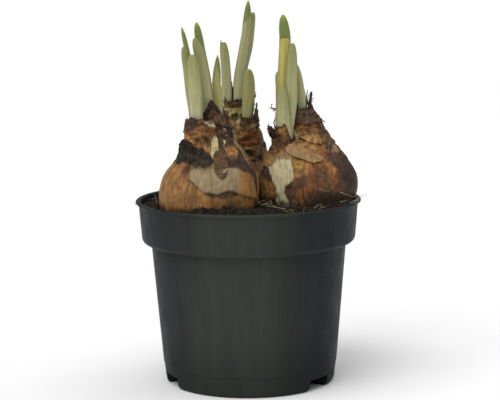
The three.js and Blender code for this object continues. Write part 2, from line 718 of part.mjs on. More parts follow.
function bulbSolid(bulb, leaves) {
  const grown = [bodySolid(bulb)];
  bulb.noses.forEach((nose) => {
    grown.push(noseSolid(nose));
    nose.torn.forEach((layer, order) => grown.push(tornLayerSolid(nose, layer, order)));
  });
  bulb.flaps.forEach((flap) => grown.push(flapSolid(bulb, flap)));
  const hollows = bulb.noses.map(throatSolid);
  leaves.forEach((leaf) => hollows.push(leafSolid(leaf, SOCKET_GAP)));
  return cut(join(grown), hollows);
}

// The plain hollow in the peat for one bulb
function bulbHollow(bulb) {
  const low = bulb.body[0][0];
  const rings = evenHeights(low, HOLLOW_TOP, BODY_STEP).map((height, level) => {
    const folds = THREE.MathUtils.smoothstep(height, SKIN_FROM, SKIN_FULL);
    const drop = level === 0 ? GAP : 0;
    return ringOf(HOLLOW_SIDES, (angle) => {
      const point = columnPoint(bulb.body, angle, height, HOLLOW_SLACK + folds);
      return point.setZ(point.z - drop);
    });
  });
  return solidFrom(loft(rings));
}

// Height of the peat's surface above the rim
function soilHeight(x, y) {
  const crumbs = Math.sin(0.61 * x + 1.2) * Math.sin(0.53 * y - 0.7) + 0.7 * Math.sin(1.31 * x - 0.4 * y);
  const banks = BANKS.reduce((sum, [bankX, bankY, reach, height]) => {
    const away = Math.hypot(x - bankX, y - bankY) / reach;
    return sum + height * Math.exp(-away * away);
  }, 0);
  return CRUMB_HEIGHT * crumbs + banks - SOIL_DROP;
}

function soilSolid() {
  // The pot's wall has flats, so the peat also keeps clear of the middle of each flat
  const flatSag = RIM_RADIUS * (1 - Math.cos(Math.PI / POT_SIDES));
  const inset = WALL + GAP + flatSag;
  const wall = wallOutline(inset, POT_HEIGHT - SOIL_DROP);
  const flat = ([radius, height]) => ringOf(SOIL_SIDES, (angle) => (
    new THREE.Vector3(radius * Math.cos(angle), radius * Math.sin(angle), height)));
  const rings = [flat([FOOT_INNER_RADIUS / 2, inset]), ...wall.map(flat)];
  const edge = wall[wall.length - 1][0];
  for (let step = 0; step < SOIL_RINGS; step += 1) {
    const radius = edge * (1 - step / SOIL_RINGS) - (step === 0 ? SOIL_EDGE_ROUND : 0);
    rings.push(ringOf(SOIL_SIDES, (angle) => {
      const x = radius * Math.cos(angle);
      const y = radius * Math.sin(angle);
      return new THREE.Vector3(x, y, POT_HEIGHT + soilHeight(x, y));
    }));
  }
  const tools = [...footTools(inset), ...BULBS.map(bulbHollow)];
  ROOTS.forEach((root) => tools.push(rootSolid(root, GAP)));
  return cut(solidFrom(loft(rings)), tools);
}

// A thin dry root with one end in the peat. Grown by a gap, it is the tool for its own groove.
function rootSolid(root, grow = 0) {
  const radius = root.radius + grow;
  const points = root.points.map(([x, y, height]) => new THREE.Vector3(x, y, POT_HEIGHT + height));
  points[0].z -= grow;
  const path = new THREE.CatmullRomCurve3(points);
  const shape = new THREE.Shape(ringOf(ROOT_SIDES, (angle) => new THREE.Vector2(
    radius * Math.cos(angle),
    radius * Math.sin(angle),
  )));
  const steps = STEPS_A_POINT * points.length;
  return solidFrom(new THREE.ExtrudeGeometry(shape, { steps, extrudePath: path, bevelEnabled: false }));
}

function namedMesh(name, solid, colour, roughness) {
  const material = new THREE.MeshStandardMaterial({ color: colour, roughness, metalness: 0 });
  const mesh = new THREE.Mesh(geometryFrom(solid), material);
  mesh.name = name;
  return mesh;
}

const BULBS = [LEFT_BULB, RIGHT_BULB, BACK_BULB];

function leavesOf(bulb) {
  const inThroat = (leaf, { throat }) => {
    const [, x] = leaf.rows[0];
    return Math.abs(x - throat.x) < throat.rx && Math.abs(leaf.y - throat.y) < throat.ry;
  };
  return LEAVES.filter((leaf) => bulb.noses.some((nose) => inThroat(leaf, nose)));
}

const pottedDaffodil = new THREE.Group();
pottedDaffodil.add(namedMesh('pot', potSolid(), COLOURS.pot, 0.45));
pottedDaffodil.add(namedMesh('soil', soilSolid(), COLOURS.soil, 0.95));
BULBS.forEach((bulb) => {
  pottedDaffodil.add(namedMesh(bulb.name, bulbSolid(bulb, leavesOf(bulb)), COLOURS[bulb.name], 0.6));
});
LEAVES.forEach((leaf) => pottedDaffodil.add(namedMesh(leaf.name, leafSolid(leaf), COLOURS.leaf, 0.5)));
ROOTS.forEach((root) => pottedDaffodil.add(namedMesh(root.name, rootSolid(root), COLOURS.root, 0.8)));

export default pottedDaffodil;
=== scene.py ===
"""Three sprouting daffodil bulbs in a round nursery pot of peat: the finished look of each piece.

Tables are in millimetres, with heights above the pot's rim and angles in degrees from +X.
"""
import logging
import math
from collections.abc import Sequence
from dataclasses import dataclass, field, replace
from enum import Enum
import bpy
import numpy as np
from mathutils import Euler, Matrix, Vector


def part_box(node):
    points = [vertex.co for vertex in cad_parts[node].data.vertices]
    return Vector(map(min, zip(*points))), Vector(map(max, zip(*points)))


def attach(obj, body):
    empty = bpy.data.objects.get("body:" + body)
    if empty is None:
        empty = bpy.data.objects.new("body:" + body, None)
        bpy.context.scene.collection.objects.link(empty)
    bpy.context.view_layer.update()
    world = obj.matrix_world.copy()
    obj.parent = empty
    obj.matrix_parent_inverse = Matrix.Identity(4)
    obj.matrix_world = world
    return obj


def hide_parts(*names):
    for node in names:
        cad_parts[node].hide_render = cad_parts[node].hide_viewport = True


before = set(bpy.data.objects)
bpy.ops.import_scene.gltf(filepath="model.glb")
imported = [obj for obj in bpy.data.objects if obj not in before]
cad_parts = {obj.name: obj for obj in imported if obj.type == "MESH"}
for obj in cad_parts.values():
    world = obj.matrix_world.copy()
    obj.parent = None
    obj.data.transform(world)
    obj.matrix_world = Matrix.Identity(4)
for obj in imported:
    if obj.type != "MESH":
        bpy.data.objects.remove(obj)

log = logging.getLogger("potted_daffodil")

MM = 0.001
RIM_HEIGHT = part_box("pot")[1].z / MM
RIM_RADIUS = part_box("pot")[1].x / MM
FAR_OUTSIDE = -9.0
BODY_RADIUS = 24
NOSE_RADIUS = 9
NOSE_STEP = 2.5

Array = np.ndarray
Socket = bpy.types.NodeSocket
Feed = Socket | float | tuple
Feeds = dict[str | int, Feed]
Outline = tuple[tuple[float, float], ...]
Path = tuple[tuple[float, float, float], ...]


class Mark(Enum):
    """Markings of a bulb's skin, each kept on the mesh as millimetres inside its outline."""

    RUST = "rust"
    GOLD = "gold"
    BROWN = "brown"
    DARK = "dark"
    WORN = "worn"
    CREAM = "cream"
    # Soil dust, and near the peat also painted shade.
    DUST = "dust"
    PEAT = "peat"


Markings = dict[Mark, tuple[Outline, ...]]


class Slot(Enum):
    """Material slots of the part."""

    POT = "pot"
    SOIL = "soil"
    BULB_LEFT = "bulb_left"
    BULB_RIGHT = "bulb_right"
    BULB_BACK = "bulb_back"
    LEAF_PALE = "leaf_pale"
    LEAF_GREEN = "leaf_green"
    ROOT = "root"


class LeafTone(Enum):
    """Kinds of leaf by colour."""

    PALE = "leaf_pale"
    WARM = "leaf_warm"
    GREEN = "leaf_green"
    YELLOW = "leaf_yellow"


def tint(red: float, green: float, blue: float) -> tuple[float, float, float, float]:
    """Turns a display colour into a linear one.

    Args:
        red: Red from 0 to 255.
        green: Green from 0 to 255.
        blue: Blue from 0 to 255.

    Returns:
        Linear red, green, blue and an alpha of 1.
    """
    shares = [channel / 255 for channel in (red, green, blue)]
    linear = [s / 12.92 if s <= 0.04045 else ((s + 0.055) / 1.055) ** 2.4 for s in shares]
    return (linear[0], linear[1], linear[2], 1.0)


def smoothstep(low: float, high: float, value: Array) -> Array:
    """Rises smoothly from 0 at low to 1 at high.

    Args:
        low: Value where the rise starts.
        high: Value where the rise ends.
        value: Values to map.

    Returns:
        Numbers from 0 to 1.
    """
    share = np.clip((value - low) / (high - low), 0, 1)
    return share * share * (3 - 2 * share)


def scatter(index: Array, seed: float) -> Array:
    """Gives a repeatable number from 0 to 1 for each index and seed.

    Args:
        index: Whole numbers.
        seed: Seed of the series.

    Returns:
        Numbers from 0 to 1.
    """
    value = np.sin(np.asarray(index) * 12.9898 + seed * 78.233) * 43758.5453
    return value - np.floor(value)


def hashed(cell: Array, seed: int) -> Array:
    """Gives a repeatable number from 0 to 1 for each whole-numbered cell.

    Args:
        cell: Whole numbers with x, y and z on the last axis.
        seed: Seed of the pattern.

    Returns:
        Numbers from 0 to 1.
    """
    mixed = cell[..., 0] * 374761393 + cell[..., 1] * 668265263 + cell[..., 2] * 1440662683 + seed * 974711
    mixed = (mixed ^ (mixed >> 13)) & 0x7FFFFFFF
    mixed = (mixed * 1274126177) & 0x7FFFFFFF
    mixed = mixed ^ (mixed >> 15)
    return (mixed & 0xFFFF) / 65535


def noise(points: Array, seed: int) -> Array:
    """Makes smooth noise with features about one unit across.

    Args:
        points: Points with x, y and z on the last axis.
        seed: Seed of the pattern.

    Returns:
        Values from -1 to 1.
    """
    cell = np.floor(points).astype(np.int64)
    share = points - cell
    share = share * share * (3 - 2 * share)
    total = np.zeros(points.shape[:-1])
    for corner in range(8):
        step = np.array([corner & 1, (corner >> 1) & 1, (corner >> 2) & 1])
        weight = np.prod(np.where(step == 1, share, 1 - share), axis=-1)
        total += weight * hashed(cell + step, seed)
    return total * 2 - 1


def fractal(points: Array, seed: int, octaves: int = 3) -> Array:
    """Adds finer and weaker noise to noise.

    Args:
        points: Points with x, y and z on the last axis.
        seed: Seed of the pattern.
        octaves: Number of layers, each twice as fine.

    Returns:
        Values from about -1 to 1.
    """
    layers = [noise(points * 2**octave, seed + octave) * 0.5**octave for octave in range(octaves)]
    return sum(layers) / (2 - 0.5 ** (octaves - 1))


def between(rows: Sequence[Sequence[float]], height: Array) -> Array:
    """Gives smooth values at heights between the rows of a table.

    Args:
        rows: Rows that start with a height, lowest first.
        height: Heights to look up.

    Returns:
        The other columns of the table, on the first axis.
    """
    table = np.array(rows, float)
    last = len(table) - 1
    upper = np.clip(np.searchsorted(table[:, 0], height, side="right"), 1, last)
    lower = upper - 1
    span = table[upper, 0] - table[lower, 0]
    share = np.clip((height - table[lower, 0]) / span, 0, 1)
    after = np.minimum(np.arange(last + 1) + 1, last)
    before = np.maximum(np.arange(last + 1) - 1, 0)
    values = []
    for column in table.T[1:]:
        slope = (column[after] - column[before]) / (table[after, 0] - table[before, 0])
        start = column[lower]
        rise = (column[upper] - start) * share * share * (3 - 2 * share)
        leave = span * slope[lower] * share * (1 - share) ** 2
        arrive = span * slope[upper] * share * share * (share - 1)
        values.append(start + rise + leave + arrive)
    return np.array(values)


def skin_relief(seed: float, angle: Array, height: Array) -> Array:
    """Gives the papery folds and soft lumps of a bulb's skin, which fade out under the peat.

    Args:
        seed: Seed of the bulb.
        angle: Angles in radians.
        height: Heights above the rim.

    Returns:
        Millimetres outwards.
    """
    folds = 0.32 * np.sin(11 * angle + seed) + 0.18 * np.sin(17 * angle + 2.1 * seed)
    lumps = 0.45 * np.sin(3 * angle + 1.7 * seed) + 0.3 * np.sin(5 * angle - seed + 0.12 * height)
    return (folds + lumps) * smoothstep(-6, 4, height)


def around(turn: Array, radius: float, height: Array | float) -> Array:
    """Places points on circles round the upright axis.

    Args:
        turn: Angles in radians.
        radius: Radius of the circles.
        height: Heights of the points.

    Returns:
        Points with x, y and z on the last axis.
    """
    return np.stack(np.broadcast_arrays(radius * np.cos(turn), radius * np.sin(turn), height), -1)


def wrinkles(angle: Array, height: Array, radius: float, seed: int) -> tuple[Array, Array, Array]:
    """Gives the torn layers and creases of a bulb's dry neck, one ragged rim above another.

    Args:
        angle: Angles in degrees.
        height: Heights above the rim.
        radius: Radius that turns angles into millimetres.
        seed: Seed of the pattern.

    Returns:
        Millimetres outwards, a mask of the creases, where shade is painted, and a mask of the torn rims,
        where highlights are painted.
    """
    place = around(np.radians(angle), radius, height)
    broad = noise(place * (0.16, 0.16, 0.12), seed)
    fine = fractal(place * (0.5, 0.5, 0.45), seed + 3)
    level = 0.22 * height + 1.0 * broad + 0.35 * fine
    share = level - np.floor(level)
    lump = fractal(place * (0.3, 0.3, 0.5), seed + 7)
    line = 1 - np.minimum(1, np.abs(noise(place * (0.24, 0.24, 0.5), seed + 9)) / 0.06)
    relief = 0.7 * share**1.6 - 0.4 * line + 0.7 * lump
    return relief, np.maximum(smoothstep(0.16, 0.02, share), line), smoothstep(0.78, 0.97, share)


def degrees_apart(angle: Array, direction: float) -> Array:
    """Gives the degrees between angles and a direction, from 0 to 180.

    Args:
        angle: Angles in degrees.
        direction: Direction in degrees.

    Returns:
        Degrees from 0 to 180.
    """
    return np.abs((angle - direction + 180) % 360 - 180)


def inside_outline(across: Array, up: Array, outline: Outline) -> Array:
    """Measures how far points lie inside a closed outline, less than zero outside it.

    Args:
        across: First coordinates of the points.
        up: Second coordinates of the points.
        outline: Corners of the outline.

    Returns:
        Signed distances.
    """
    corners = np.array(outline, float)
    nearest = np.full(across.shape, 1e9)
    inside = np.zeros(across.shape, bool)
    for (ax, ay), (bx, by) in zip(corners, np.roll(corners, -1, axis=0)):
        length = max((bx - ax) ** 2 + (by - ay) ** 2, 1e-9)
        share = np.clip(((across - ax) * (bx - ax) + (up - ay) * (by - ay)) / length, 0, 1)
        away = np.hypot(across - ax - share * (bx - ax), up - ay - share * (by - ay))
        nearest = np.minimum(nearest, away)
        rise = by - ay if by != ay else 1e-9
        crosses = ((ay > up) != (by > up)) & (across < (bx - ax) * (up - ay) / rise + ax)
        inside ^= crosses
    return np.where(inside, nearest, -nearest)


def grid_faces(rows: int, columns: int, closed: bool, turned: bool = False) -> Array:
    """Makes quads over a grid of points whose columns run anticlockwise and rows run up.

    Args:
        rows: Number of rows.
        columns: Number of columns.
        closed: Whether the last column joins the first.
        turned: Whether the quads face inwards.

    Returns:
        Four point numbers for each quad.
    """
    row = np.arange(rows - 1)[:, None] * columns
    column = np.arange(columns if closed else columns - 1)[None, :]
    after = (column + 1) % columns
    quads = [row + column, row + after, row + columns + after, row + columns + column]
    faces = np.stack(quads, -1).reshape(-1, 4)
    return faces[:, ::-1] if turned else faces


def capped_faces(rows: int, columns: int) -> list[list[int]]:
    """Makes the faces of a closed grid whose first and last row each end in one more point.

    Args:
        rows: Number of rows.
        columns: Number of columns.

    Returns:
        Point numbers of each face. The two end points follow those of the grid.
    """
    last = (rows - 1) * columns
    ends = [[rows * columns, (column + 1) % columns, column] for column in range(columns)]
    ends += [[rows * columns + 1, last + column, last + (column + 1) % columns] for column in range(columns)]
    return grid_faces(rows, columns, True).tolist() + ends


def on_mesh(name: str, points: Array, faces: Sequence[Sequence[int]]) -> bpy.types.Object:
    """Makes an object in the scene from points in millimetres above the rim.

    Args:
        name: Name of the piece.
        points: Points with x, y and height above the rim.
        faces: Point numbers of each face.

    Returns:
        The new object, at the origin.
    """
    placed = (np.asarray(points, float) + (0, 0, RIM_HEIGHT)) * MM
    mesh = bpy.data.meshes.new(name)
    mesh.from_pydata(placed.tolist(), [], [list(map(int, face)) for face in faces])
    mesh.polygons.foreach_set("use_smooth", [True] * len(mesh.polygons))
    mesh.update()
    piece = bpy.data.objects.new(name, mesh)
    bpy.context.scene.collection.objects.link(piece)
    return piece


def set_field(piece: bpy.types.Object, name: str, values: Array) -> None:
    """Stores a number or a vector for each point of a mesh.

    Args:
        piece: Mesh object.
        name: Name of the attribute.
        values: One number or three for each point.
    """
    kind = "FLOAT_VECTOR" if np.ndim(values) == 2 else "FLOAT"
    attribute = piece.data.attributes.new(name, kind, "POINT")
    key = "vector" if kind == "FLOAT_VECTOR" else "value"
    attribute.data.foreach_set(key, np.asarray(values, np.float32).ravel())


class Shell:
    """Gathers the points, faces and fields of one piece before its mesh is made."""

    def __init__(self) -> None:
        """Starts with nothing gathered."""
        self.points: list[Array] = []
        self.faces: list[list[int]] = []
        self.fields: dict[str, list[Array]] = {}
        self.count = 0

    def add(self, points: Array, faces: Sequence[Sequence[int]], fields: dict[str, Array]) -> None:
        """Adds one closed surface.

        Args:
            points: Points of the surface.
            faces: Faces that number its own points from 0.
            fields: A number or vector at each point, the same names each time.
        """
        self.points.append(points)
        self.faces.extend([[int(number) + self.count for number in face] for face in faces])
        for name, values in fields.items():
            listed = values.reshape(len(points), -1)
            self.fields.setdefault(name, []).append(listed if listed.shape[1] > 1 else listed[:, 0])
        self.count += len(points)

    def slab(self, outer: Array, inner: Array, closed: bool, fields: dict[str, Array]) -> None:
        """Adds a closed slab between two grids of points, rows up and columns anticlockwise.

        Args:
            outer: Outer points as rows, columns and coordinates.
            inner: Inner points in the same order.
            closed: Whether the columns run right round.
            fields: A number or vector at each point of a grid.
        """
        rows, columns = outer.shape[:2]
        back = rows * columns
        front = grid_faces(rows, columns, closed)
        faces = [front, front[:, ::-1] + back]
        wrap = np.arange(columns if closed else columns - 1)
        after = (wrap + 1) % columns
        top = (rows - 1) * columns
        faces.append(np.stack([wrap, back + wrap, back + after, after], -1))
        faces.append(np.stack([top + wrap, top + after, back + top + after, back + top + wrap], -1))
        if not closed:
            side = np.arange(rows - 1) * columns
            far = side + columns - 1
            faces.append(np.stack([side, side + columns, back + side + columns, back + side], -1))
            faces.append(np.stack([far, back + far, back + far + columns, far + columns], -1))
        points = np.concatenate([outer.reshape(-1, 3), inner.reshape(-1, 3)])
        doubled = {name: np.concatenate([values, values]) for name, values in fields.items()}
        self.add(points, np.concatenate(faces), doubled)

    def piece(self, name: str) -> bpy.types.Object:
        """Makes the mesh object.

        Args:
            name: Name of the piece.

        Returns:
            The new object.
        """
        made = on_mesh(name, np.concatenate(self.points), self.faces)
        for key, values in self.fields.items():
            set_field(made, key, np.concatenate(values))
        return made


def settle(piece: bpy.types.Object, slot: Slot, nodes: Sequence[str]) -> None:
    """Ties a finished piece to the part and reports it.

    Args:
        piece: Finished piece.
        slot: Material slot that its finish belongs to.
        nodes: Nodes of the part that it stands for.
    """
    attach(piece, "root")
    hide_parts(*nodes)
    triangles = sum(len(face.vertices) - 2 for face in piece.data.polygons)
    log.info("%s: %d triangles, slot %s", piece.name, triangles, slot.value)


@dataclass
class Board:
    """Puts nodes in one tree and links them."""

    tree: bpy.types.NodeTree

    def put(self, kind: str, feeds: Feeds | None = None, **settings: object) -> bpy.types.Node:
        """Adds a node.

        Args:
            kind: Node type.
            feeds: A value or an output for each named or numbered input.
            **settings: Properties of the node.

        Returns:
            The new node.
        """
        node = self.tree.nodes.new(kind)
        for key, value in settings.items():
            setattr(node, key, value)
        for key, feed in (feeds or {}).items():
            self.feed(node.inputs[key], feed)
        return node

    def feed(self, socket: Socket, feed: Feed) -> None:
        """Links an output to a socket, or sets its value.

        Args:
            socket: Input socket.
            feed: Output socket or plain value.
        """
        if isinstance(feed, Socket):
            self.tree.links.new(feed, socket)
        else:
            socket.default_value = feed

    def maths(self, operation: str, *numbers: Feed) -> Socket:
        """Gives the output of a Math node with up to three numbers."""
        feeds = dict.fromkeys(range(3), 0.0) | dict(enumerate(numbers))
        return self.put("ShaderNodeMath", feeds, operation=operation).outputs[0]

    def times(self, first: Feed, second: Feed, plus: Feed | None = None) -> Socket:
        """Multiplies two numbers and adds a third, where there is one.

        Args:
            first: First number.
            second: Second number.
            plus: Number to add.

        Returns:
            The result.
        """
        if plus is None:
            return self.maths("MULTIPLY", first, second)
        return self.maths("MULTIPLY_ADD", first, second, plus)

    def centred(self, value: Feed) -> Socket:
        """Takes a half from a number from 0 to 1."""
        return self.maths("SUBTRACT", value, 0.5)

    def span(self, value: Feed, low: float, high: float, start: float = 0.0, end: float = 1.0) -> Socket:
        """Maps low to high onto start to end with a smooth step."""
        feeds = {0: value, 1: low, 2: high, 3: start, 4: end}
        return self.put("ShaderNodeMapRange", feeds, interpolation_type="SMOOTHSTEP").outputs[0]

    def mix(self, share: Feed, low: Feed, high: Feed, mode: str = "MIX") -> Socket:
        """Mixes two colours: the low one at a share of 0 and the high one at 1."""
        feeds = {0: share, 6: low, 7: high}
        return self.put("ShaderNodeMix", feeds, data_type="RGBA", blend_type=mode).outputs[2]

    def grain(self, vector: Feed, scale: float, detail: float = 3.0, rough: float = 0.55) -> Socket:
        """Gives noise from about 0.2 to 0.8, with so many features for each unit of length."""
        feeds = {"Vector": vector, "Scale": scale, "Detail": detail, "Roughness": rough}
        return self.put("ShaderNodeTexNoise", feeds).outputs[0]

    def vectors(self, operation: str, first: Feed, second: Feed) -> Socket:
        """Gives the output of a Vector Math node, whose second value is a number for SCALE."""
        feeds = {0: first, "Scale" if operation == "SCALE" else 1: second}
        return self.put("ShaderNodeVectorMath", feeds, operation=operation).outputs[0]

    def shaken(self, geometry: Feed, colour: Feed, reach: Feed) -> Socket:
        """Moves the points of a geometry by a noise colour, where 0.5 is no move, times a reach."""
        shift = self.vectors("SCALE", self.vectors("SUBTRACT", colour, (0.5, 0.5, 0.5)), reach)
        return self.put("GeometryNodeSetPosition", {"Geometry": geometry, "Offset": shift}).outputs[0]

    def field(self, name: str, part: str = "Fac") -> Socket:
        """Reads a field of the mesh by its name."""
        return self.put("ShaderNodeAttribute", attribute_name=name).outputs[part]

    def group(self, tree: bpy.types.NodeTree, feeds: Feeds) -> bpy.types.Node:
        """Adds a node group, with a value or an output for each named input."""
        return self.put("ShaderNodeGroup", feeds, node_tree=tree)


def new_group(name: str, inputs: Feeds, outputs: Sequence[str]) -> tuple[Board, bpy.types.Node]:
    """Starts a shader node group whose outputs are numbers.

    Args:
        name: Name of the group.
        inputs: Default value of each input: a number or a vector.
        outputs: Names of the outputs.

    Returns:
        The board of the group and its input node.
    """
    tree = bpy.data.node_groups.new(name, "ShaderNodeTree")
    for key, value in inputs.items():
        kind = "NodeSocketVector" if isinstance(value, tuple) else "NodeSocketFloat"
        socket = tree.interface.new_socket(key, in_out="INPUT", socket_type=kind)
        socket.default_value = value
    for key in outputs:
        tree.interface.new_socket(key, in_out="OUTPUT", socket_type="NodeSocketFloat")
    board = Board(tree)
    return board, board.put("NodeGroupInput")


class Effects:
    """Shader node groups that several finishes share."""

    def __init__(self) -> None:
        """Builds the groups."""
        self.torn_edge = self.build_torn_edge()
        self.fibres = self.build_fibres()
        self.specks = self.build_specks()

    def build_torn_edge(self) -> bpy.types.NodeTree:
        """Turns millimetres inside an outline into a mask with a ragged edge.

        Returns:
            The group.
        """
        inputs = {"Inside": 0.0, "Place": (0.0, 0.0, 0.0), "Scale": 0.5, "Ragged": 1.0, "Soft": 0.3}
        board, given = new_group("torn_edge", inputs, ["Mask"])
        wobble = board.grain(given.outputs["Place"], 1.0, 4.0, 0.6)
        board.feed(wobble.node.inputs["Scale"], given.outputs["Scale"])
        shift = board.times(board.centred(wobble), given.outputs["Ragged"])
        moved = board.times(shift, 3.0, given.outputs["Inside"])
        share = board.maths("DIVIDE", moved, given.outputs["Soft"])
        board.put("NodeGroupOutput", {"Mask": board.span(share, -1.0, 1.0)})
        return board.tree

    def build_fibres(self) -> bpy.types.NodeTree:
        """Makes lengthwise streaks and thin veins of a papery skin or a leaf.

        Returns:
            The group.
        """
        inputs = {"Grain": (0.0, 0.0, 0.0), "Width": 1.5, "Length": 14.0, "Seed": 0.0}
        board, given = new_group("fibres", inputs, ["Streak", "Vein"])
        across = board.maths("DIVIDE", 1.0, given.outputs["Width"])
        along = board.maths("DIVIDE", 1.0, given.outputs["Length"])
        factors = board.put("ShaderNodeCombineXYZ", {0: across, 1: across, 2: along}).outputs[0]
        scaled = board.vectors("MULTIPLY", given.outputs["Grain"], factors)
        moved = board.vectors("ADD", scaled, given.outputs["Seed"])
        streak = board.grain(moved, 1.0, 4.0, 0.6)
        line = board.grain(moved, 0.55, 2.0, 0.5)
        ridge = board.maths("ABSOLUTE", board.centred(line))
        vein = board.span(ridge, 0.035, 0.0)
        board.put("NodeGroupOutput", {"Streak": board.span(streak, 0.3, 0.7), "Vein": vein})
        return board.tree

    def build_specks(self) -> bpy.types.NodeTree:
        """Makes small spots, one in each of a share of the cells.

        Returns:
            The group.
        """
        inputs = {"Place": (0.0, 0.0, 0.0), "Spacing": 4.0, "Size": 0.25, "Share": 0.3}
        board, given = new_group("specks", inputs, ["Mask"])
        scale = board.maths("DIVIDE", 1.0, given.outputs["Spacing"])
        feeds = {"Vector": given.outputs["Place"], "Scale": scale}
        cells = board.put("ShaderNodeTexVoronoi", feeds)
        reach = board.maths("DIVIDE", given.outputs["Size"], given.outputs["Spacing"])
        near = board.maths("LESS_THAN", cells.outputs["Distance"], reach)
        lot = board.put("ShaderNodeSeparateColor", {0: cells.outputs["Color"]}).outputs[0]
        chosen = board.maths("LESS_THAN", lot, given.outputs["Share"])
        board.put("NodeGroupOutput", {"Mask": board.times(near, chosen)})
        return board.tree


def new_material(name: str) -> tuple[Board, bpy.types.Node, Socket]:
    """Starts a material with one Principled shader.

    Args:
        name: Name of the material.

    Returns:
        The board, the shader node and the place on the piece in millimetres.
    """
    material = bpy.data.materials.new(name)
    material.use_nodes = True
    tree = material.node_tree
    tree.nodes.clear()
    board = Board(tree)
    shader = board.put("ShaderNodeBsdfPrincipled")
    board.put("ShaderNodeOutputMaterial", {"Surface": shader.outputs[0]})
    place = board.put("ShaderNodeTexCoord").outputs["Object"]
    return board, shader, board.vectors("MULTIPLY", place, (1 / MM, 1 / MM, 1 / MM))


def finished(
    board: Board, shader: bpy.types.Node, looks: Feeds, relief: tuple[Feed, float, float] | None = None
) -> bpy.types.Material:
    """Feeds the shader of a material.

    Args:
        board: Board of the material.
        shader: Its Principled shader.
        looks: A value or an output for each named input of the shader.
        relief: Height, depth and strength of a fine relief.

    Returns:
        The material.
    """
    if relief:
        height, depth, strength = relief
        bump = board.put("ShaderNodeBump", {"Height": height, "Distance": depth, "Strength": strength})
        looks = looks | {"Normal": bump.outputs[0]}
    for key, feed in looks.items():
        board.feed(shader.inputs[key], feed)
    return next(material for material in bpy.data.materials if material.node_tree == board.tree)


@dataclass(frozen=True)
class PotPlastic:
    """Satin dark grey-green moulded plastic with faint upright streaks and a few pale specks.

    Its painted shades darken the foot, the collar and the sides away from the lit line; they are ranges of
    height, and for the sides one of distance from the lit line.
    """

    name: str = "pot_plastic"
    middle: tuple[float, ...] = tint(58, 61, 56)
    # Colour of the sides: painted shade where the round pot turns away from the light.
    sides: tuple[float, ...] = tint(36, 41, 42)
    pale: tuple[float, ...] = tint(96, 100, 90)
    roughness: float = 0.5
    shine: float = 0.06
    lit_side: float = 6.0
    side_shade: tuple[float, float] = (6.0, 46.0)
    foot_shade: tuple[float, float] = (4.0, 40.0)
    collar_shade: tuple[float, float] = (74.0, 80.0)

    def material(self, effects: Effects) -> bpy.types.Material:
        """Builds the material.

        Args:
            effects: Shared node groups.

        Returns:
            The material.
        """
        board, shader, place = new_material(self.name)
        axes = board.put("ShaderNodeSeparateXYZ", {0: place}).outputs
        flow = board.group(effects.fibres, {"Grain": place, "Width": 4.0, "Length": 160.0}).outputs["Streak"]
        broad = board.group(effects.fibres, {"Grain": place, "Width": 16.0, "Length": 400.0, "Seed": 5.0})
        # The middle colour down the lit line fades to painted shade on the sides.
        from_lit = board.maths("ABSOLUTE", board.maths("ADD", axes[0], self.lit_side))
        side = board.span(from_lit, *self.side_shade)
        share = board.times(board.centred(broad.outputs["Streak"]), 0.25, side)
        colour = board.mix(share, self.middle, self.sides)
        # Painted shade: darker towards the foot and a little darker on the collar.
        foot_shade = board.span(axes[2], *self.foot_shade, 0.7, 1.0)
        collar_shade = board.span(axes[2], *self.collar_shade, 1.0, 0.92)
        shade = board.times(board.span(flow, 0.0, 1.0, 0.95, 1.05), board.times(foot_shade, collar_shade))
        grey = board.put("ShaderNodeCombineColor", dict.fromkeys(range(3), shade)).outputs[0]
        colour = board.mix(1.0, colour, grey, "MULTIPLY")
        dots = board.group(effects.specks, {"Place": place, "Spacing": 9.0, "Size": 0.4, "Share": 0.16})
        dust = board.span(board.grain(place, 0.09, 5.0, 0.7), 0.62, 0.8, 0.0, 0.12)
        colour = board.mix(dust, colour, self.pale)
        colour = board.mix(board.times(dots.outputs["Mask"], 0.5), colour, self.pale)
        blotch = board.grain(place, 0.12, 4.0, 0.6)
        rough = board.span(blotch, 0.3, 0.7, self.roughness - 0.05, self.roughness + 0.07)
        looks = {"Base Color": colour, "Roughness": rough, "Specular IOR Level": self.shine}
        fine = board.times(board.grain(place, 3.0, 3.0), 0.3, flow)
        return finished(board, shader, looks, (fine, 0.06 * MM, 0.5))


@dataclass(frozen=True)
class PeatFinish:
    """Matt peat, from near black to brown, with a few pale chips."""

    name: str = "peat"
    dark: tuple[float, ...] = tint(20, 17, 15)
    brown: tuple[float, ...] = tint(56, 45, 36)
    pale: tuple[float, ...] = tint(120, 102, 78)

    def material(self, effects: Effects) -> bpy.types.Material:
        """Builds the material.

        Args:
            effects: Shared node groups.

        Returns:
            The material.
        """
        board, shader, place = new_material(self.name)
        coarse = board.span(board.grain(place, 0.7, 4.0, 0.7), 0.35, 0.68)
        colour = board.mix(coarse, self.dark, self.brown)
        chips = board.group(effects.specks, {"Place": place, "Spacing": 2.6, "Size": 0.55, "Share": 0.14})
        colour = board.mix(board.times(chips.outputs["Mask"], 0.7), colour, self.pale)
        looks = {"Base Color": colour, "Roughness": 0.95, "Specular IOR Level": 0.2}
        return finished(board, shader, looks, (board.grain(place, 1.6, 5.0, 0.7), 0.8 * MM, 0.9))


@dataclass(frozen=True)
class Paint:
    """Look of one marking: two colours, how much of each pattern mixes them, and how its edge is torn.

    The patterns are lengthwise streaks, spots and crumbs.
    """

    mark: Mark
    low: tuple[float, ...]
    high: tuple[float, ...]
    patterns: tuple[float, float, float] = (0.4, 0.6, 0.0)
    scale: float = 0.6
    ragged: float = 1.2
    soft: float = 0.35
    share: float = 1.0


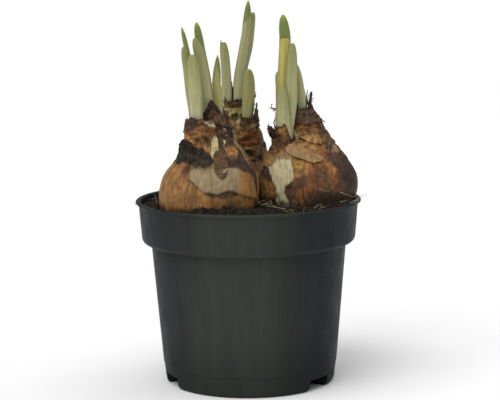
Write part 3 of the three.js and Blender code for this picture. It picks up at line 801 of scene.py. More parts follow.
@dataclass(frozen=True)
class TunicFinish:
    """Dry papery skin of a bulb with lengthwise veins, mottling, torn patches and soil stains, painted shade
    in its creases and hollows and painted highlights on its torn rims.
    """

    name: str
    light: tuple[float, ...]
    middle: tuple[float, ...]
    vein: tuple[float, ...]
    paints: tuple[Paint, ...]
    seed: float
    # Dark colour of the darker tones and specks, and of the painted shade in creases and in the hollows of
    # the noses.
    dark: tuple[float, ...] = tint(46, 36, 31)
    # Golden colour of the lighter tones and of the painted highlights on torn rims.
    gold_tone_and_highlight: tuple[float, ...] = tint(158, 112, 66)
    roughness: float = 0.5

    def material(self, effects: Effects) -> bpy.types.Material:
        """Builds the material.

        Args:
            effects: Shared node groups.

        Returns:
            The material.
        """
        board, shader, place = new_material(self.name)
        grain = board.field("grain", "Vector")
        mottle = board.field("mottle")
        broad = board.group(effects.fibres, {"Grain": grain, "Width": 3.4, "Length": 26.0, "Seed": self.seed})
        thin = {"Grain": grain, "Width": 0.8, "Length": 12.0, "Seed": self.seed + 3}
        fine = board.group(effects.fibres, thin)
        streak = fine.outputs["Streak"]
        blotch = board.span(board.grain(place, 0.16, 4.0, 0.6), 0.35, 0.65)
        spot = board.span(board.grain(board.vectors("MULTIPLY", place, (1.0, 1.0, 0.7)), 0.45), 0.38, 0.62)
        lump = board.span(board.grain(place, 0.26, 3.0, 0.5), 0.38, 0.62)
        crumbs = board.span(board.grain(place, 1.3, 4.0, 0.7), 0.4, 0.7)
        share = board.times(streak, 0.3, board.times(broad.outputs["Streak"], 0.2))
        colour = board.mix(board.times(blotch, 0.5, share), self.middle, self.light)
        veins = board.times(broad.outputs["Vein"], board.times(blotch, 0.5, 0.25))
        colour = board.mix(veins, colour, self.vein)
        # Tone darkens or lightens the skin at random and by piece; the dark tone inside the noses' cups is
        # painted shade.
        uneven = board.times(board.centred(blotch), 0.4, board.field("tone"))
        dapple = board.times(board.centred(lump), mottle)
        uneven = board.times(dapple, 0.9, uneven)
        colour = board.mix(board.span(uneven, 0.0, -1.0, 0.0, 0.92), colour, self.dark)
        colour = board.mix(board.span(uneven, 0.0, 1.0, 0.0, 0.8), colour, self.gold_tone_and_highlight)
        torn = board.vectors("MULTIPLY", grain, (1.0, 1.0, 0.45))
        masks = {}
        for paint in self.paints:
            edge = {"Place": torn, "Scale": paint.scale, "Ragged": paint.ragged, "Soft": paint.soft}
            edge["Inside"] = board.field(paint.mark.value)
            mask = board.group(effects.torn_edge, edge).outputs["Mask"]
            masks[paint.mark] = mask
            lengthwise, spotted, crumbly = paint.patterns
            pattern = board.times(streak, lengthwise, board.times(spot, spotted))
            pattern = board.times(crumbs, crumbly, pattern)
            shown = board.times(mask, paint.share)
            colour = board.mix(shown, colour, board.mix(pattern, paint.low, paint.high))
        bare = board.maths("MAXIMUM", masks[Mark.CREAM], board.times(masks[Mark.WORN], 0.7))
        plain = board.maths("SUBTRACT", 1.0, board.maths("MAXIMUM", bare, masks[Mark.PEAT]))
        # Painted highlights on the torn rims of the wrinkles and painted shade in the creases below them,
        # away from bare and peat-covered skin; torn edges are darker too.
        rim = board.times(board.field("rim"), board.span(spot, 0.2, 0.8, 0.05, 0.4))
        colour = board.mix(board.times(rim, plain), colour, self.gold_tone_and_highlight)
        edge = board.span(board.field("edge"), 0.25, 1.0, 0.0, 0.7)
        crease = board.times(board.field("crease"), board.span(streak, 0.0, 1.0, 0.8, 0.35))
        colour = board.mix(board.times(crease, plain, edge), colour, self.dark)
        dots = board.group(effects.specks, {"Place": place, "Spacing": 3.4, "Size": 0.4, "Share": 0.16})
        colour = board.mix(board.times(dots.outputs["Mask"], 0.6), colour, self.dark)
        soiled = board.maths("MAXIMUM", masks[Mark.PEAT], masks[Mark.DUST])
        rough = board.times(streak, 0.12, board.times(soiled, 0.4, self.roughness))
        height = board.times(streak, 0.5, board.times(veins, -0.6))
        height = board.times(spot, 0.5, board.times(dapple, 2.0, height))
        height = board.times(board.times(crumbs, masks[Mark.PEAT]), 2.5, height)
        looks = {"Base Color": colour, "Roughness": rough, "Specular IOR Level": 0.2}
        return finished(board, shader, looks, (height, 0.35 * MM, 0.7))


@dataclass(frozen=True)
class LeafFinish:
    """Smooth young leaf with fine lengthwise veins, paler at its foot, greener at its tip and with painted
    shade along its edges.
    """

    kind: LeafTone
    foot: tuple[float, ...]
    blade: tuple[float, ...]
    tip: tuple[float, ...]
    seed: float
    green: tuple[float, ...] = tint(106, 117, 58)
    bright: tuple[float, ...] = tint(140, 158, 54)
    shade: tuple[float, ...] = tint(112, 112, 62)
    roughness: float = 0.42

    def material(self, effects: Effects) -> bpy.types.Material:
        """Builds the material.

        Args:
            effects: Shared node groups.

        Returns:
            The material.
        """
        board, shader, place = new_material(self.kind.value)
        grain = board.field("grain", "Vector")
        rise = board.field("rise")
        thin = {"Grain": grain, "Width": 0.55, "Length": 60.0, "Seed": self.seed}
        veins = board.group(effects.fibres, thin)
        wide = {"Grain": grain, "Width": 2.2, "Length": 70.0, "Seed": self.seed + 2}
        broad = board.group(effects.fibres, wide)
        colour = board.mix(board.span(rise, 0.0, 0.6), self.foot, self.blade)
        colour = board.mix(board.span(rise, 0.55, 1.0), colour, self.tip)
        fine = board.times(veins.outputs["Streak"], 0.3)
        patchy = board.times(broad.outputs["Streak"], 0.35, fine)
        colour = board.mix(patchy, colour, self.shade)
        # Painted shade along the blade's edges.
        edge = board.span(board.field("edge"), 0.55, 1.0)
        colour = board.mix(board.times(edge, 0.4), colour, self.shade)
        feeds = {"Inside": board.field("green"), "Place": grain, "Scale": 0.4, "Ragged": 0.5, "Soft": 0.35}
        green = board.group(effects.torn_edge, feeds).outputs["Mask"]
        fresh = board.mix(board.span(rise, 0.93, 1.0), self.green, self.bright)
        fresh = board.mix(fine, fresh, self.bright)
        colour = board.mix(green, colour, fresh)
        stain = board.span(board.grain(place, 0.3, 4.0, 0.65), 0.64, 0.74, 0.0, 0.35)
        colour = board.mix(stain, colour, self.shade)
        looks = {"Base Color": colour, "Roughness": self.roughness}
        looks |= {"Subsurface Weight": 0.15, "Subsurface Scale": 2 * MM}
        return finished(board, shader, looks, (patchy, 0.12 * MM, 0.6))


@dataclass(frozen=True)
class FibreFinish:
    """Thin dry root or shred of skin, mottled along its length."""

    name: str
    light: tuple[float, ...]
    dark: tuple[float, ...]

    def material(self, effects: Effects) -> bpy.types.Material:
        """Builds the material.

        Args:
            effects: Shared node groups.

        Returns:
            The material.
        """
        board, shader, place = new_material(self.name)
        share = board.group(effects.fibres, {"Grain": place, "Width": 2.4, "Length": 2.4}).outputs["Streak"]
        looks = {"Base Color": board.mix(share, self.dark, self.light), "Roughness": 0.75}
        return finished(board, shader, looks, (share, 0.1 * MM, 0.6))


@dataclass
class Pot:
    """Nursery pot with a lip, a deep collar, a tapered body and three hollow feet.

    Its heights are above the plane that its feet stand on.
    """

    wall: float = 1.2
    lip: float = 1.3
    lip_round: float = 0.35
    collar_top: float = 58.5
    collar_bulge: tuple[tuple[float, float], ...] = ((57.4, 83.0), (57.9, 89.0))
    collar_low: float = 57.0
    collar_depth: float = 19.6
    shoulder_round: float = 3.4
    neck: float = 52.0
    step: tuple[float, float] = (46.35, 10.6)
    step_relief: float = 0.3
    foot_top: tuple[float, float] = (45.9, 6.5)
    base: float = 45.4
    foot_height: float = 6.0
    foot_inner: float = 35.0
    foot_round: float = 2.4
    corner_round: float = 1.9
    notches: tuple[float, ...] = (-37.0, 83.0, 203.0)
    notch_width: float = 20.0
    drain_radius: float = 3.5
    drain_ring: float = 20.0
    mouth: float = 57.75
    edge: float = 0.4
    under_rings: tuple[float, ...] = (12, 23, 32)
    floor_rings: tuple[float, ...] = (24, 12)
    side: float = 1.6
    corner_sides: tuple[float, ...] = (0.1, 0.8, 1.5, 2.4)

    def outline(self) -> tuple[list[tuple[float, float]], list[tuple[float, float]]]:
        """Gives the outer outline from the centre below to the lip, and the inner one back down.

        Returns:
            Radius and height of each point of the two outlines.
        """
        shoulder = RIM_HEIGHT - self.collar_depth - self.shoulder_round
        lip = RIM_HEIGHT - self.lip
        turns = np.radians(np.linspace(0, 90, 7))
        foot = [(self.base - self.foot_round * (1 - math.sin(turn)), self.foot_round * (1 - math.cos(turn)))
                for turn in turns]
        spread = self.collar_low - self.neck
        arc = [(self.neck + spread * math.sin(turn), shoulder + self.shoulder_round * (1 - math.cos(turn)))
               for turn in turns[1:]]
        start = (self.step[0] + self.step_relief, self.step[1] + self.step_relief)
        taper = [(start[0] + (self.neck - start[0]) * share, start[1] + (shoulder - start[1]) * share)
                 for share in np.linspace(0, 1, 14)[:-1]]
        wall = foot + [self.foot_top, self.step] + taper + [(self.neck, shoulder)] + arc
        collar = [*self.collar_bulge, (self.collar_top - 0.1, lip - 0.5), (self.collar_top + 0.25, lip)]
        rim = [(RIM_RADIUS - self.edge, lip), (RIM_RADIUS, lip + self.lip_round)]
        rim += [(RIM_RADIUS, RIM_HEIGHT - self.lip_round), (RIM_RADIUS - self.lip_round, RIM_HEIGHT)]
        roof, inside = self.foot_height, self.foot_inner
        under = [(radius, roof) for radius in (*self.under_rings, inside - 0.1)]
        under += [(inside, roof - self.edge), (inside, self.edge), (inside + self.edge, 0)]
        inner = [(self.mouth, RIM_HEIGHT), (self.mouth - 0.45, RIM_HEIGHT - self.edge)]
        inner += [(radius - self.wall, height) for radius, height in reversed(collar[:-1])]
        inner += [(radius - self.wall, height + self.wall) for radius, height in reversed(wall)]
        floor = roof + self.wall
        inner += [(inside + self.wall, self.wall + 0.1), (inside + 1.15, floor - 0.1), (inside + 1, floor)]
        inner += [(radius, floor) for radius in self.floor_rings]
        return under + wall + collar + rim, inner

    def angles(self) -> Array:
        """Gives the columns round the pot in degrees, closer together at the sides of the feet."""
        even = np.arange(0, 360, self.side)
        near = np.concatenate([np.negative(self.corner_sides), self.corner_sides])
        half = self.notch_width / 2
        corners = [notch + side for notch in self.notches for side in (-half, half)]
        special = np.concatenate([(corner + near) % 360 for corner in corners])
        apart = np.abs((even[:, None] - special[None, :] + 180) % 360 - 180).min(1)
        return np.sort(np.concatenate([even[apart > self.side / 2], special]))

    def foot_bottom(self, angle: Array, widen: float) -> Array:
        """Gives the lowest height at each angle: the feet with rounded corners, and the notches.

        Args:
            angle: Angles in degrees.
            widen: How much wider each notch is on either side, in millimetres.

        Returns:
            Heights.
        """
        past = np.min([degrees_apart(angle, notch) for notch in self.notches], axis=0) - self.notch_width / 2
        depth = np.radians(past) * self.base - widen
        inside = np.clip(self.corner_round - depth, 0, self.corner_round)
        corner = self.corner_round - np.sqrt(self.corner_round**2 - inside**2)
        return np.where(depth < 0, self.foot_height, corner)

    def build(self, effects: Effects) -> None:
        """Builds the pot.

        Args:
            effects: Shared node groups.
        """
        angles = self.angles()
        turn = np.radians(angles)
        outer, inner = self.outline()
        rings = []
        for outline, lift in ((outer, 0.0), (inner, self.wall)):
            low = self.foot_bottom(angles, lift) + lift
            rings += [around(turn, radius, np.maximum(height, low)) for radius, height in outline]
        middle = [[0, 0, self.foot_height], [0, 0, self.foot_height + self.wall]]
        points = np.concatenate([*rings, middle]) - (0, 0, RIM_HEIGHT)
        piece = on_mesh("nursery_pot", points, capped_faces(len(rings), len(angles)))
        piece.data.materials.append(PotPlastic().material(effects))
        self.drill(piece)
        piece.data.set_sharp_from_angle(angle=math.radians(38))
        settle(piece, Slot.POT, ["pot"])

    def drill(self, piece: bpy.types.Object) -> None:
        """Cuts the drain holes through the floor.

        Args:
            piece: The pot.
        """
        turn = np.radians(np.arange(0, 360, 15))
        count = len(turn)
        sides = grid_faces(2, count, True).tolist()
        sides += [list(range(count))[::-1], list(range(count, 2 * count))]
        shell = Shell()
        for notch in self.notches:
            centre = around(math.radians(notch), self.drain_ring, 0)
            levels = [around(turn, self.drain_radius, level - RIM_HEIGHT) + centre for level in (4.0, 9.0)]
            shell.add(np.concatenate(levels), sides, {})
        tool = shell.piece("drain_tool")
        cut = piece.modifiers.new("drains", "BOOLEAN")
        cut.operation = "DIFFERENCE"
        cut.solver = "EXACT"
        cut.object = tool
        take_result(piece)
        bpy.data.objects.remove(tool)


def take_result(piece: bpy.types.Object) -> None:
    """Turns a piece with modifiers into the plain mesh that they give.

    Args:
        piece: Mesh object with modifiers.
    """
    bpy.context.view_layer.update()
    evaluated = piece.evaluated_get(bpy.context.evaluated_depsgraph_get())
    made = bpy.data.meshes.new_from_object(evaluated)
    piece.modifiers.clear()
    piece.data = made


def grow(
    source: bpy.types.Object, tree: bpy.types.NodeTree, name: str, values: dict[str, object]
) -> bpy.types.Object:
    """Runs a geometry node tree on an object and keeps the result as a plain mesh.

    Args:
        source: Object that the tree reads. It is removed afterwards.
        tree: Geometry node tree.
        name: Name of the new piece.
        values: Value of each named input.

    Returns:
        The new piece.
    """
    modifier = source.modifiers.new(name, "NODES")
    modifier.node_group = tree
    for item in tree.interface.items_tree:
        if item.item_type == "SOCKET" and item.in_out == "INPUT" and item.name in values:
            modifier[item.identifier] = values[item.name]
    bpy.context.view_layer.update()
    evaluated = source.evaluated_get(bpy.context.evaluated_depsgraph_get())
    piece = bpy.data.objects.new(name, bpy.data.meshes.new_from_object(evaluated))
    bpy.context.scene.collection.objects.link(piece)
    bpy.data.objects.remove(source)
    piece.data.polygons.foreach_set("use_smooth", [True] * len(piece.data.polygons))
    return piece


def new_tree(name: str, inputs: dict[str, str]) -> tuple[Board, bpy.types.Node]:
    """Starts a geometry node tree.

    Args:
        name: Name of the tree.
        inputs: Kind of each input after the geometry.

    Returns:
        The board of the tree and its input node.
    """
    tree = bpy.data.node_groups.new(name, "GeometryNodeTree")
    tree.interface.new_socket("Geometry", in_out="INPUT", socket_type="NodeSocketGeometry")
    for key, kind in inputs.items():
        tree.interface.new_socket(key, in_out="INPUT", socket_type="NodeSocket" + kind)
    tree.interface.new_socket("Geometry", in_out="OUTPUT", socket_type="NodeSocketGeometry")
    board = Board(tree)
    return board, board.put("NodeGroupInput")


def crumb_tree() -> bpy.types.NodeTree:
    """Scatters small uneven crumbs over a surface, where its density field allows.

    Returns:
        The tree, with the inputs Density, Smallest, Largest, Seed and Material.
    """
    inputs = dict.fromkeys(("Density", "Smallest", "Largest"), "Float")
    inputs |= {"Seed": "Int", "Material": "Material"}
    board, given = new_tree("crumbs", inputs)
    wanted = given.outputs
    share = board.put("GeometryNodeInputNamedAttribute", {"Name": "density"}, data_type="FLOAT").outputs[0]
    density = board.times(share, wanted["Density"])
    feeds = {"Mesh": wanted["Geometry"], "Density": density, "Seed": wanted["Seed"]}
    dots = board.put("GeometryNodeDistributePointsOnFaces", feeds, distribute_method="RANDOM")
    crumb = board.put("GeometryNodeMeshIcoSphere", {"Radius": 1.0, "Subdivisions": 1})
    size = board.put("FunctionNodeRandomValue", {2: 0.0, 3: 1.0, "Seed": wanted["Seed"]}, data_type="FLOAT")
    small = board.maths("POWER", size.outputs[1], 2.5)
    reach = board.maths("SUBTRACT", wanted["Largest"], wanted["Smallest"])
    radius = board.times(small, reach, wanted["Smallest"])
    feeds = {0: (0.7, 0.7, 0.45), 1: (1.3, 1.2, 0.9), "Seed": 11}
    flat = board.put("FunctionNodeRandomValue", feeds, data_type="FLOAT_VECTOR")
    scale = board.vectors("SCALE", flat.outputs[0], radius)
    feeds = {0: (0, 0, 0), 1: (6.28, 6.28, 6.28), "Seed": 5}
    spin = board.put("FunctionNodeRandomValue", feeds, data_type="FLOAT_VECTOR")
    feeds = {"Points": dots.outputs["Points"], "Instance": crumb.outputs["Mesh"]}
    feeds |= {"Rotation": spin.outputs[0], "Scale": scale}
    placed = board.put("GeometryNodeInstanceOnPoints", feeds)
    real = board.put("GeometryNodeRealizeInstances", {"Geometry": placed.outputs[0]})
    position = board.put("GeometryNodeInputPosition").outputs[0]
    rough = board.put("ShaderNodeTexNoise", {"Vector": position, "Scale": 900.0, "Detail": 1.0})
    uneven = board.shaken(real.outputs[0], rough.outputs["Color"], 1.1 * MM)
    dressed = board.put("GeometryNodeSetMaterial", {"Geometry": uneven, "Material": wanted["Material"]})
    board.put("NodeGroupOutput", {"Geometry": dressed.outputs[0]})
    return board.tree


@dataclass
class Peat:
    """Peat that fills the pot, with a hollow for each bulb and loose crumbs on top.

    Its banks are x, y, reach and rise.
    """

    pot: Pot
    bodies: list[Sequence[Sequence[float]]]
    drop: float = 2.6
    relief: float = 0.54
    banks: tuple[tuple[float, ...], ...] = (
        (-24, -46, 6, 3.4), (-15, -46, 6, 3.4), (-6, -44, 7, 3.6), (6, -44, 8, 1.6), (53, -18, 8, 3.6),
        (46, -30, 8, 1.6), (2, -30, 9, 1.2), (30, -36, 8, 1.4), (-50, -12, 6, 1.4),
    )
    gap: float = 0.3
    bottom: float = 7.5
    below_rim: float = 4.5
    skin_top: float = 4.0
    crumb_reach: float = 55.2
    crumb_low: float = -4.6
    crumb_density: float = 420000.0
    crumb_sizes: tuple[float, float] = (0.35, 1.9)
    bed_reach: float = 56.0
    bed_step: float = 1.6
    columns: int = 240
    rings: int = 76

    def surface(self, x: Array, y: Array) -> Array:
        """Gives the height of the peat, with a hollow under each bulb.

        Args:
            x: First coordinates.
            y: Second coordinates.

        Returns:
            Heights above the rim.
        """
        waves = np.sin(0.61 * x + 1.2) * np.sin(0.53 * y - 0.7) + 0.7 * np.sin(1.31 * x - 0.4 * y)
        height = self.relief * waves - self.drop
        for bank_x, bank_y, reach, rise in self.banks:
            height = height + rise * np.exp(-(((x - bank_x) ** 2 + (y - bank_y) ** 2) / reach**2))
        place = np.stack([x, y, np.zeros_like(x)], -1)
        height = height + 0.9 * fractal(place * 0.3, 21) + 0.6 * np.abs(fractal(place * 1.1, 33, 2))
        height = height - 0.5 * smoothstep(54.5, 56.5, np.hypot(x, y))
        for body in self.bodies:
            low = body[0][0]
            levels = np.linspace(low, self.skin_top, 30)
            wide = between(body, levels)[2]
            centre_x, centre_y, full_x, full_y = between(body, np.array(self.skin_top))
            share = np.hypot((x - centre_x) / full_x, (y - centre_y) / full_y)
            floor = np.interp(share, wide / full_x, levels - self.gap, left=low - self.gap)
            height = np.where(share < 1, np.minimum(height, floor), height)
        return height

    def build(self, effects: Effects) -> None:
        """Builds the peat and its crumbs.

        Args:
            effects: Shared node groups.
        """
        wall = [(radius - self.gap, height) for radius, height in reversed(self.pot.outline()[1])
                if self.pot.foot_height + self.pot.wall < height < RIM_HEIGHT - self.below_rim]
        turn = np.radians(np.arange(0, 360, 360 / self.columns))
        sides = [(20, self.bottom), (wall[0][0], self.bottom), *wall[1:]]
        rings = [around(turn, radius, height - RIM_HEIGHT) for radius, height in sides]
        edge = wall[-1][0] + 0.1
        for share in np.linspace(1, 0, self.rings, endpoint=False):
            ring = around(turn, edge * share, 0.0)
            rings.append(around(turn, edge * share, self.surface(ring[:, 0], ring[:, 1])))
        middle = [[0, 0, self.bottom - RIM_HEIGHT], [0, 0, self.surface(np.zeros(1), np.zeros(1))[0]]]
        piece = on_mesh("peat_fill", np.concatenate([*rings, middle]), capped_faces(len(rings), self.columns))
        finish = PeatFinish().material(effects)
        piece.data.materials.append(finish)
        settle(piece, Slot.SOIL, ["soil"])
        self.crumbs(finish)

    def crumbs(self, finish: bpy.types.Material) -> None:
        """Scatters loose crumbs over the peat outside the bulbs.

        Args:
            finish: Material of the crumbs.
        """
        lines = np.arange(-self.bed_reach, self.bed_reach + 0.1, self.bed_step)
        x, y = np.meshgrid(lines, lines)
        height = self.surface(x, y)
        points = np.stack([x, y, height], -1).reshape(-1, 3)
        bed = on_mesh("crumb_bed", points, grid_faces(len(lines), len(lines), False))
        inside = (np.hypot(x, y) < self.crumb_reach) & (height > self.crumb_low)
        bulb_side = np.zeros_like(x)
        for body in self.bodies:
            centre_x, centre_y, full_x, full_y = between(body, np.array(0.0))
            share = np.hypot((x - centre_x) / (full_x + 1.6), (y - centre_y) / (full_y + 1.6))
            bulb_side = np.maximum(bulb_side, smoothstep(1.12, 1.02, share))
            inside &= share > 0.965
        set_field(bed, "density", (inside * (0.55 + 0.9 * bulb_side)).ravel())
        smallest, largest = self.crumb_sizes
        values = {"Density": self.crumb_density, "Smallest": smallest * MM, "Largest": largest * MM}
        values |= {"Seed": 7, "Material": finish}
        settle(grow(bed, crumb_tree(), "peat_crumbs", values), Slot.SOIL, ["soil"])


def on_column(rows: Sequence[Sequence[float]], angle: Array, height: Array, offset: Array) -> Array:
    """Places points on the surface of a column.

    Args:
        rows: Table of the column: height, centre x, centre y, half width in x, half width in y.
        angle: Angles in degrees.
        height: Heights above the rim.
        offset: Millimetres outwards.

    Returns:
        Points.
    """
    turn = np.radians(angle)
    x, y, half_x, half_y = between(rows, height)
    return np.stack([x + (half_x + offset) * np.cos(turn), y + (half_y + offset) * np.sin(turn), height], -1)


@dataclass(frozen=True)
class Collar:
    """One torn papery layer round a nose, which shows for half its width on either side of an angle."""

    low: float
    high: float
    lift: float
    tone: float
    at: float = 270
    half: float = 180
    ragged: float = 1.6
    curl: float = 0.3


@dataclass(frozen=True)
class Flap:
    """One piece of loose skin between a lower and an upper edge, each given as angle and height.

    Its lifts are those of the lower, upper, first and last edge. Its own markings, unless they are
    None, take the place of those of the surface that it lies on.
    """

    lower: Outline
    upper: Outline
    lifts: tuple[float, float, float, float]
    tone: float
    seed: int
    ragged: float = 0.5
    marks: tuple[Mark, ...] = ()
    own: Markings | None = None
    lumps: float = 0.0


@dataclass(frozen=True)
class Nose:
    """One of a bulb's two noses, with its torn layers.

    Its rows are those of a column. Each peak of its edge is an angle, a rise and half its width in
    degrees. Its throat is a centre, two half widths and the height of its floor.
    """

    rows: tuple[tuple[float, ...], ...]
    top: float
    peaks: tuple[tuple[float, float, float], ...]
    throat: tuple[float, float, float, float, float]
    seed: float
    tone: float
    collars: tuple[Collar, ...] = ()
    patches: Markings = field(default_factory=dict)
    flaps: tuple[Flap, ...] = ()


@dataclass
class Bulb:
    """A bulb: its body, its two noses, and its torn papery layers and flaps.

    The rows of its body are those of a column: height, centre x, centre y and two half widths.
    """

    slot: Slot
    seed: float
    finish: TunicFinish
    body: tuple[tuple[float, ...], ...]
    noses: tuple[Nose, ...]
    patches: Markings = field(default_factory=dict)
    flaps: tuple[Flap, ...] = ()
    columns: int = 300
    thickness: float = 0.4
    torn_depth: float = 0.5
    dome: float = 1.5
    lip_share: float = 0.55
    lip_drop: float = 0.5
    # Tone of the inside of each nose's cup: painted shade in the hollow.
    hollow_shade_tone: float = -0.9

    @property
    def pattern(self) -> int:
        """Gives the seed of the wrinkles."""
        return int(self.seed * 31)

    def fields(
        self,
        angle: Array,
        height: Array,
        patches: Markings,
        radius: float,
        tone: Array,
        edge: Array,
        always: Sequence[Mark] = (),
    ) -> dict[str, Array]:
        """Makes the fields of a surface: its grain, tone, torn edge and markings, and the masks of its
        painted crease shade and rim highlights.

        Args:
            angle: Angles in degrees.
            height: Heights above the rim.
            patches: Markings of the surface, outlined as angle and height.
            radius: Radius that turns angles into millimetres.
            tone: Darker below zero and lighter above.
            edge: 1 at a torn edge and 0 away from it.
            always: Markings that cover the whole surface.

        Returns:
            A number or vector at each point, by name.
        """
        turn = np.radians(angle)
        mottle = np.ones(1) if radius == NOSE_RADIUS else smoothstep(18, 26, height)
        _, crease, rim = wrinkles(angle, height, radius, self.pattern)
        fields = {"tone": tone, "edge": edge, "mottle": mottle}
        fields |= {"crease": crease * mottle, "rim": rim * mottle}
        fields = {name: values + 0 * height for name, values in fields.items()}
        fields["grain"] = around(turn, radius, height + self.seed * 7)
        scale = math.radians(1) * radius
        for mark in Mark:
            value = np.full(height.shape, 3.0 if mark in always else FAR_OUTSIDE)
            for patch in patches.get(mark, ()):
                outline = [(turned * scale, up) for turned, up in patch]
                middle = sum(turned for turned, _ in patch) / len(patch)
                near = middle + (angle - middle + 180) % 360 - 180
                value = np.maximum(value, inside_outline(near * scale, height, outline))
            fields[mark.value] = value
        # Towards the bottom the dust marking grows into a band: soil dust and painted shade where the bulb
        # meets the peat.
        stain = 0.2 - height + 1.8 * noise(around(turn, radius, height) * 0.3, 5)
        fields[Mark.DUST.value] = np.maximum(fields[Mark.DUST.value], np.clip(stain, FAR_OUTSIDE, 3))
        return fields

    def skin(self, angle: Array, height: Array) -> Array:
        """Gives the relief of the body: folds, lumps, fine wrinkles and hollows where skin is torn off.

        Args:
            angle: Angles in degrees.
            height: Heights above the rim.

        Returns:
            Millimetres outwards.
        """
        place = around(np.radians(angle), BODY_RADIUS, height)
        seed = int(self.seed * 10)
        above_peat = smoothstep(-8, 0, height)
        fine = 0.16 * fractal(place * (0.9, 0.9, 0.144), seed) * above_peat
        dents = 0.3 * fractal(place * 0.12, seed + 40) * above_peat
        layered = wrinkles(angle, height, BODY_RADIUS, self.pattern)[0] * smoothstep(18, 26, height)
        return skin_relief(self.seed, np.radians(angle), height) + fine + dents + layered

    def add_body(self, shell: Shell) -> None:
        """Adds the body, which ends in a low dome between the noses.

        Args:
            shell: Shell to add to.
        """
        low, high = self.body[0][0], self.body[-1][0]
        heights = np.concatenate([np.arange(low, -4, 1.6), np.arange(-4, high, 0.5), [high]])
        angle, height = np.meshgrid(np.arange(0, 360, 360 / self.columns), heights)
        fields = self.fields(angle, height, self.patches, BODY_RADIUS, np.zeros(1), np.zeros(1))
        torn = smoothstep(-0.2, 0.4, fields[Mark.CREAM.value])
        points = on_column(self.body, angle, height, self.skin(angle, height) - self.torn_depth * torn)
        centre = between(self.body, np.array(high))[:2]
        for share in (0.75, 0.5, 0.25):
            ring = points[len(heights) - 1].copy()
            ring[:, :2] = centre + (ring[:, :2] - centre) * share
            ring[:, 2] += self.dome * (1 - share**2)
            points = np.concatenate([points, ring[None]])
            fields = {name: np.concatenate([values, values[-1:]]) for name, values in fields.items()}
        rows, columns = points.shape[:2]
        ends = [[*between(self.body, np.array(low))[:2], low], [*centre, high + self.dome + 0.1]]
        listed = {name: values.reshape(rows * columns, -1) for name, values in fields.items()}
        listed = {name: np.concatenate([values, values[:1], values[-1:]]) for name, values in listed.items()}
        shell.add(np.concatenate([points.reshape(-1, 3), ends]), capped_faces(rows, columns), listed)

    def add_nose(self, shell: Shell, nose: Nose) -> None:
        """Adds the cup of a nose: its outer skin, its ragged edge and the hollow that its leaves stand in.

        Args:
            shell: Shell to add to.
            nose: Nose to add.
        """
        angles = np.arange(0, 360, NOSE_STEP)
        turn = np.radians(angles)
        rise = 1.3 * scatter(np.round(angles / 20), nose.seed)
        rise = rise + 0.8 * fractal(around(turn, NOSE_RADIUS, 0.0), int(nose.seed * 9))
        for at, height, width in nose.peaks:
            rise = rise + height * np.maximum(0, 1 - degrees_apart(angles, at) / width)
        low, top = nose.rows[0][0], nose.top + rise
        shares = np.concatenate([np.linspace(0, 1, 72), [1.0]])
        height = low + (top - low) * shares[:, None]
        angle = np.broadcast_to(angles, height.shape)
        relief = 0.3 * skin_relief(nose.seed, turn, height)
        relief = relief + wrinkles(angle, height, NOSE_RADIUS, self.pattern)[0]
        outer = on_column(nose.rows, angle, height, relief)
        x, y, half_x, half_y, floor = nose.throat
        wide = np.linspace(0.8, 1.06, len(shares))[:, None]
        deep = floor + (height - low) * ((top - floor) / (top - low))
        hole = np.stack([x + half_x * wide * np.cos(turn), y + half_y * wide * np.sin(turn), deep], -1)
        mouth = outer[-1] - self.lip_share * (outer[-1] - hole[-1])
        mouth[:, 2] = outer[-1, :, 2] - self.lip_drop
        reach = smoothstep(0.75, 1, shares)[:, None, None]
        hole = hole * (1 - reach) + mouth * reach
        hole[..., 2] = np.minimum(hole[..., 2], outer[..., 2] - 0.05)
        rows, columns = height.shape
        back = rows * columns
        faces = grid_faces(rows, columns, True).tolist()
        faces += (grid_faces(rows, columns, True, True) + back).tolist()
        lip = back - columns
        for column in range(columns):
            after = (column + 1) % columns
            faces.append([2 * back, after, column])
            faces.append([2 * back + 1, back + column, back + after])
            faces.append([lip + column, lip + after, back + lip + after, back + lip + column])
        edge = smoothstep(2.2, 0, top - height)
        fields = self.fields(angle, height, nose.patches, NOSE_RADIUS, np.full(1, nose.tone), edge)
        listed = {}
        for name, values in fields.items():
            outside = values.reshape(back, -1)
            # The inside of the cup takes a dark tone: painted shade in its hollow.
            inside = np.full_like(outside, self.hollow_shade_tone) if name == "tone" else outside
            listed[name] = np.concatenate([outside, inside, outside[:1], inside[:1]])
        points = np.concatenate([outer.reshape(-1, 3), hole.reshape(-1, 3), [[x, y, low]], [[x, y, floor]]])
        shell.add(points, faces, listed)

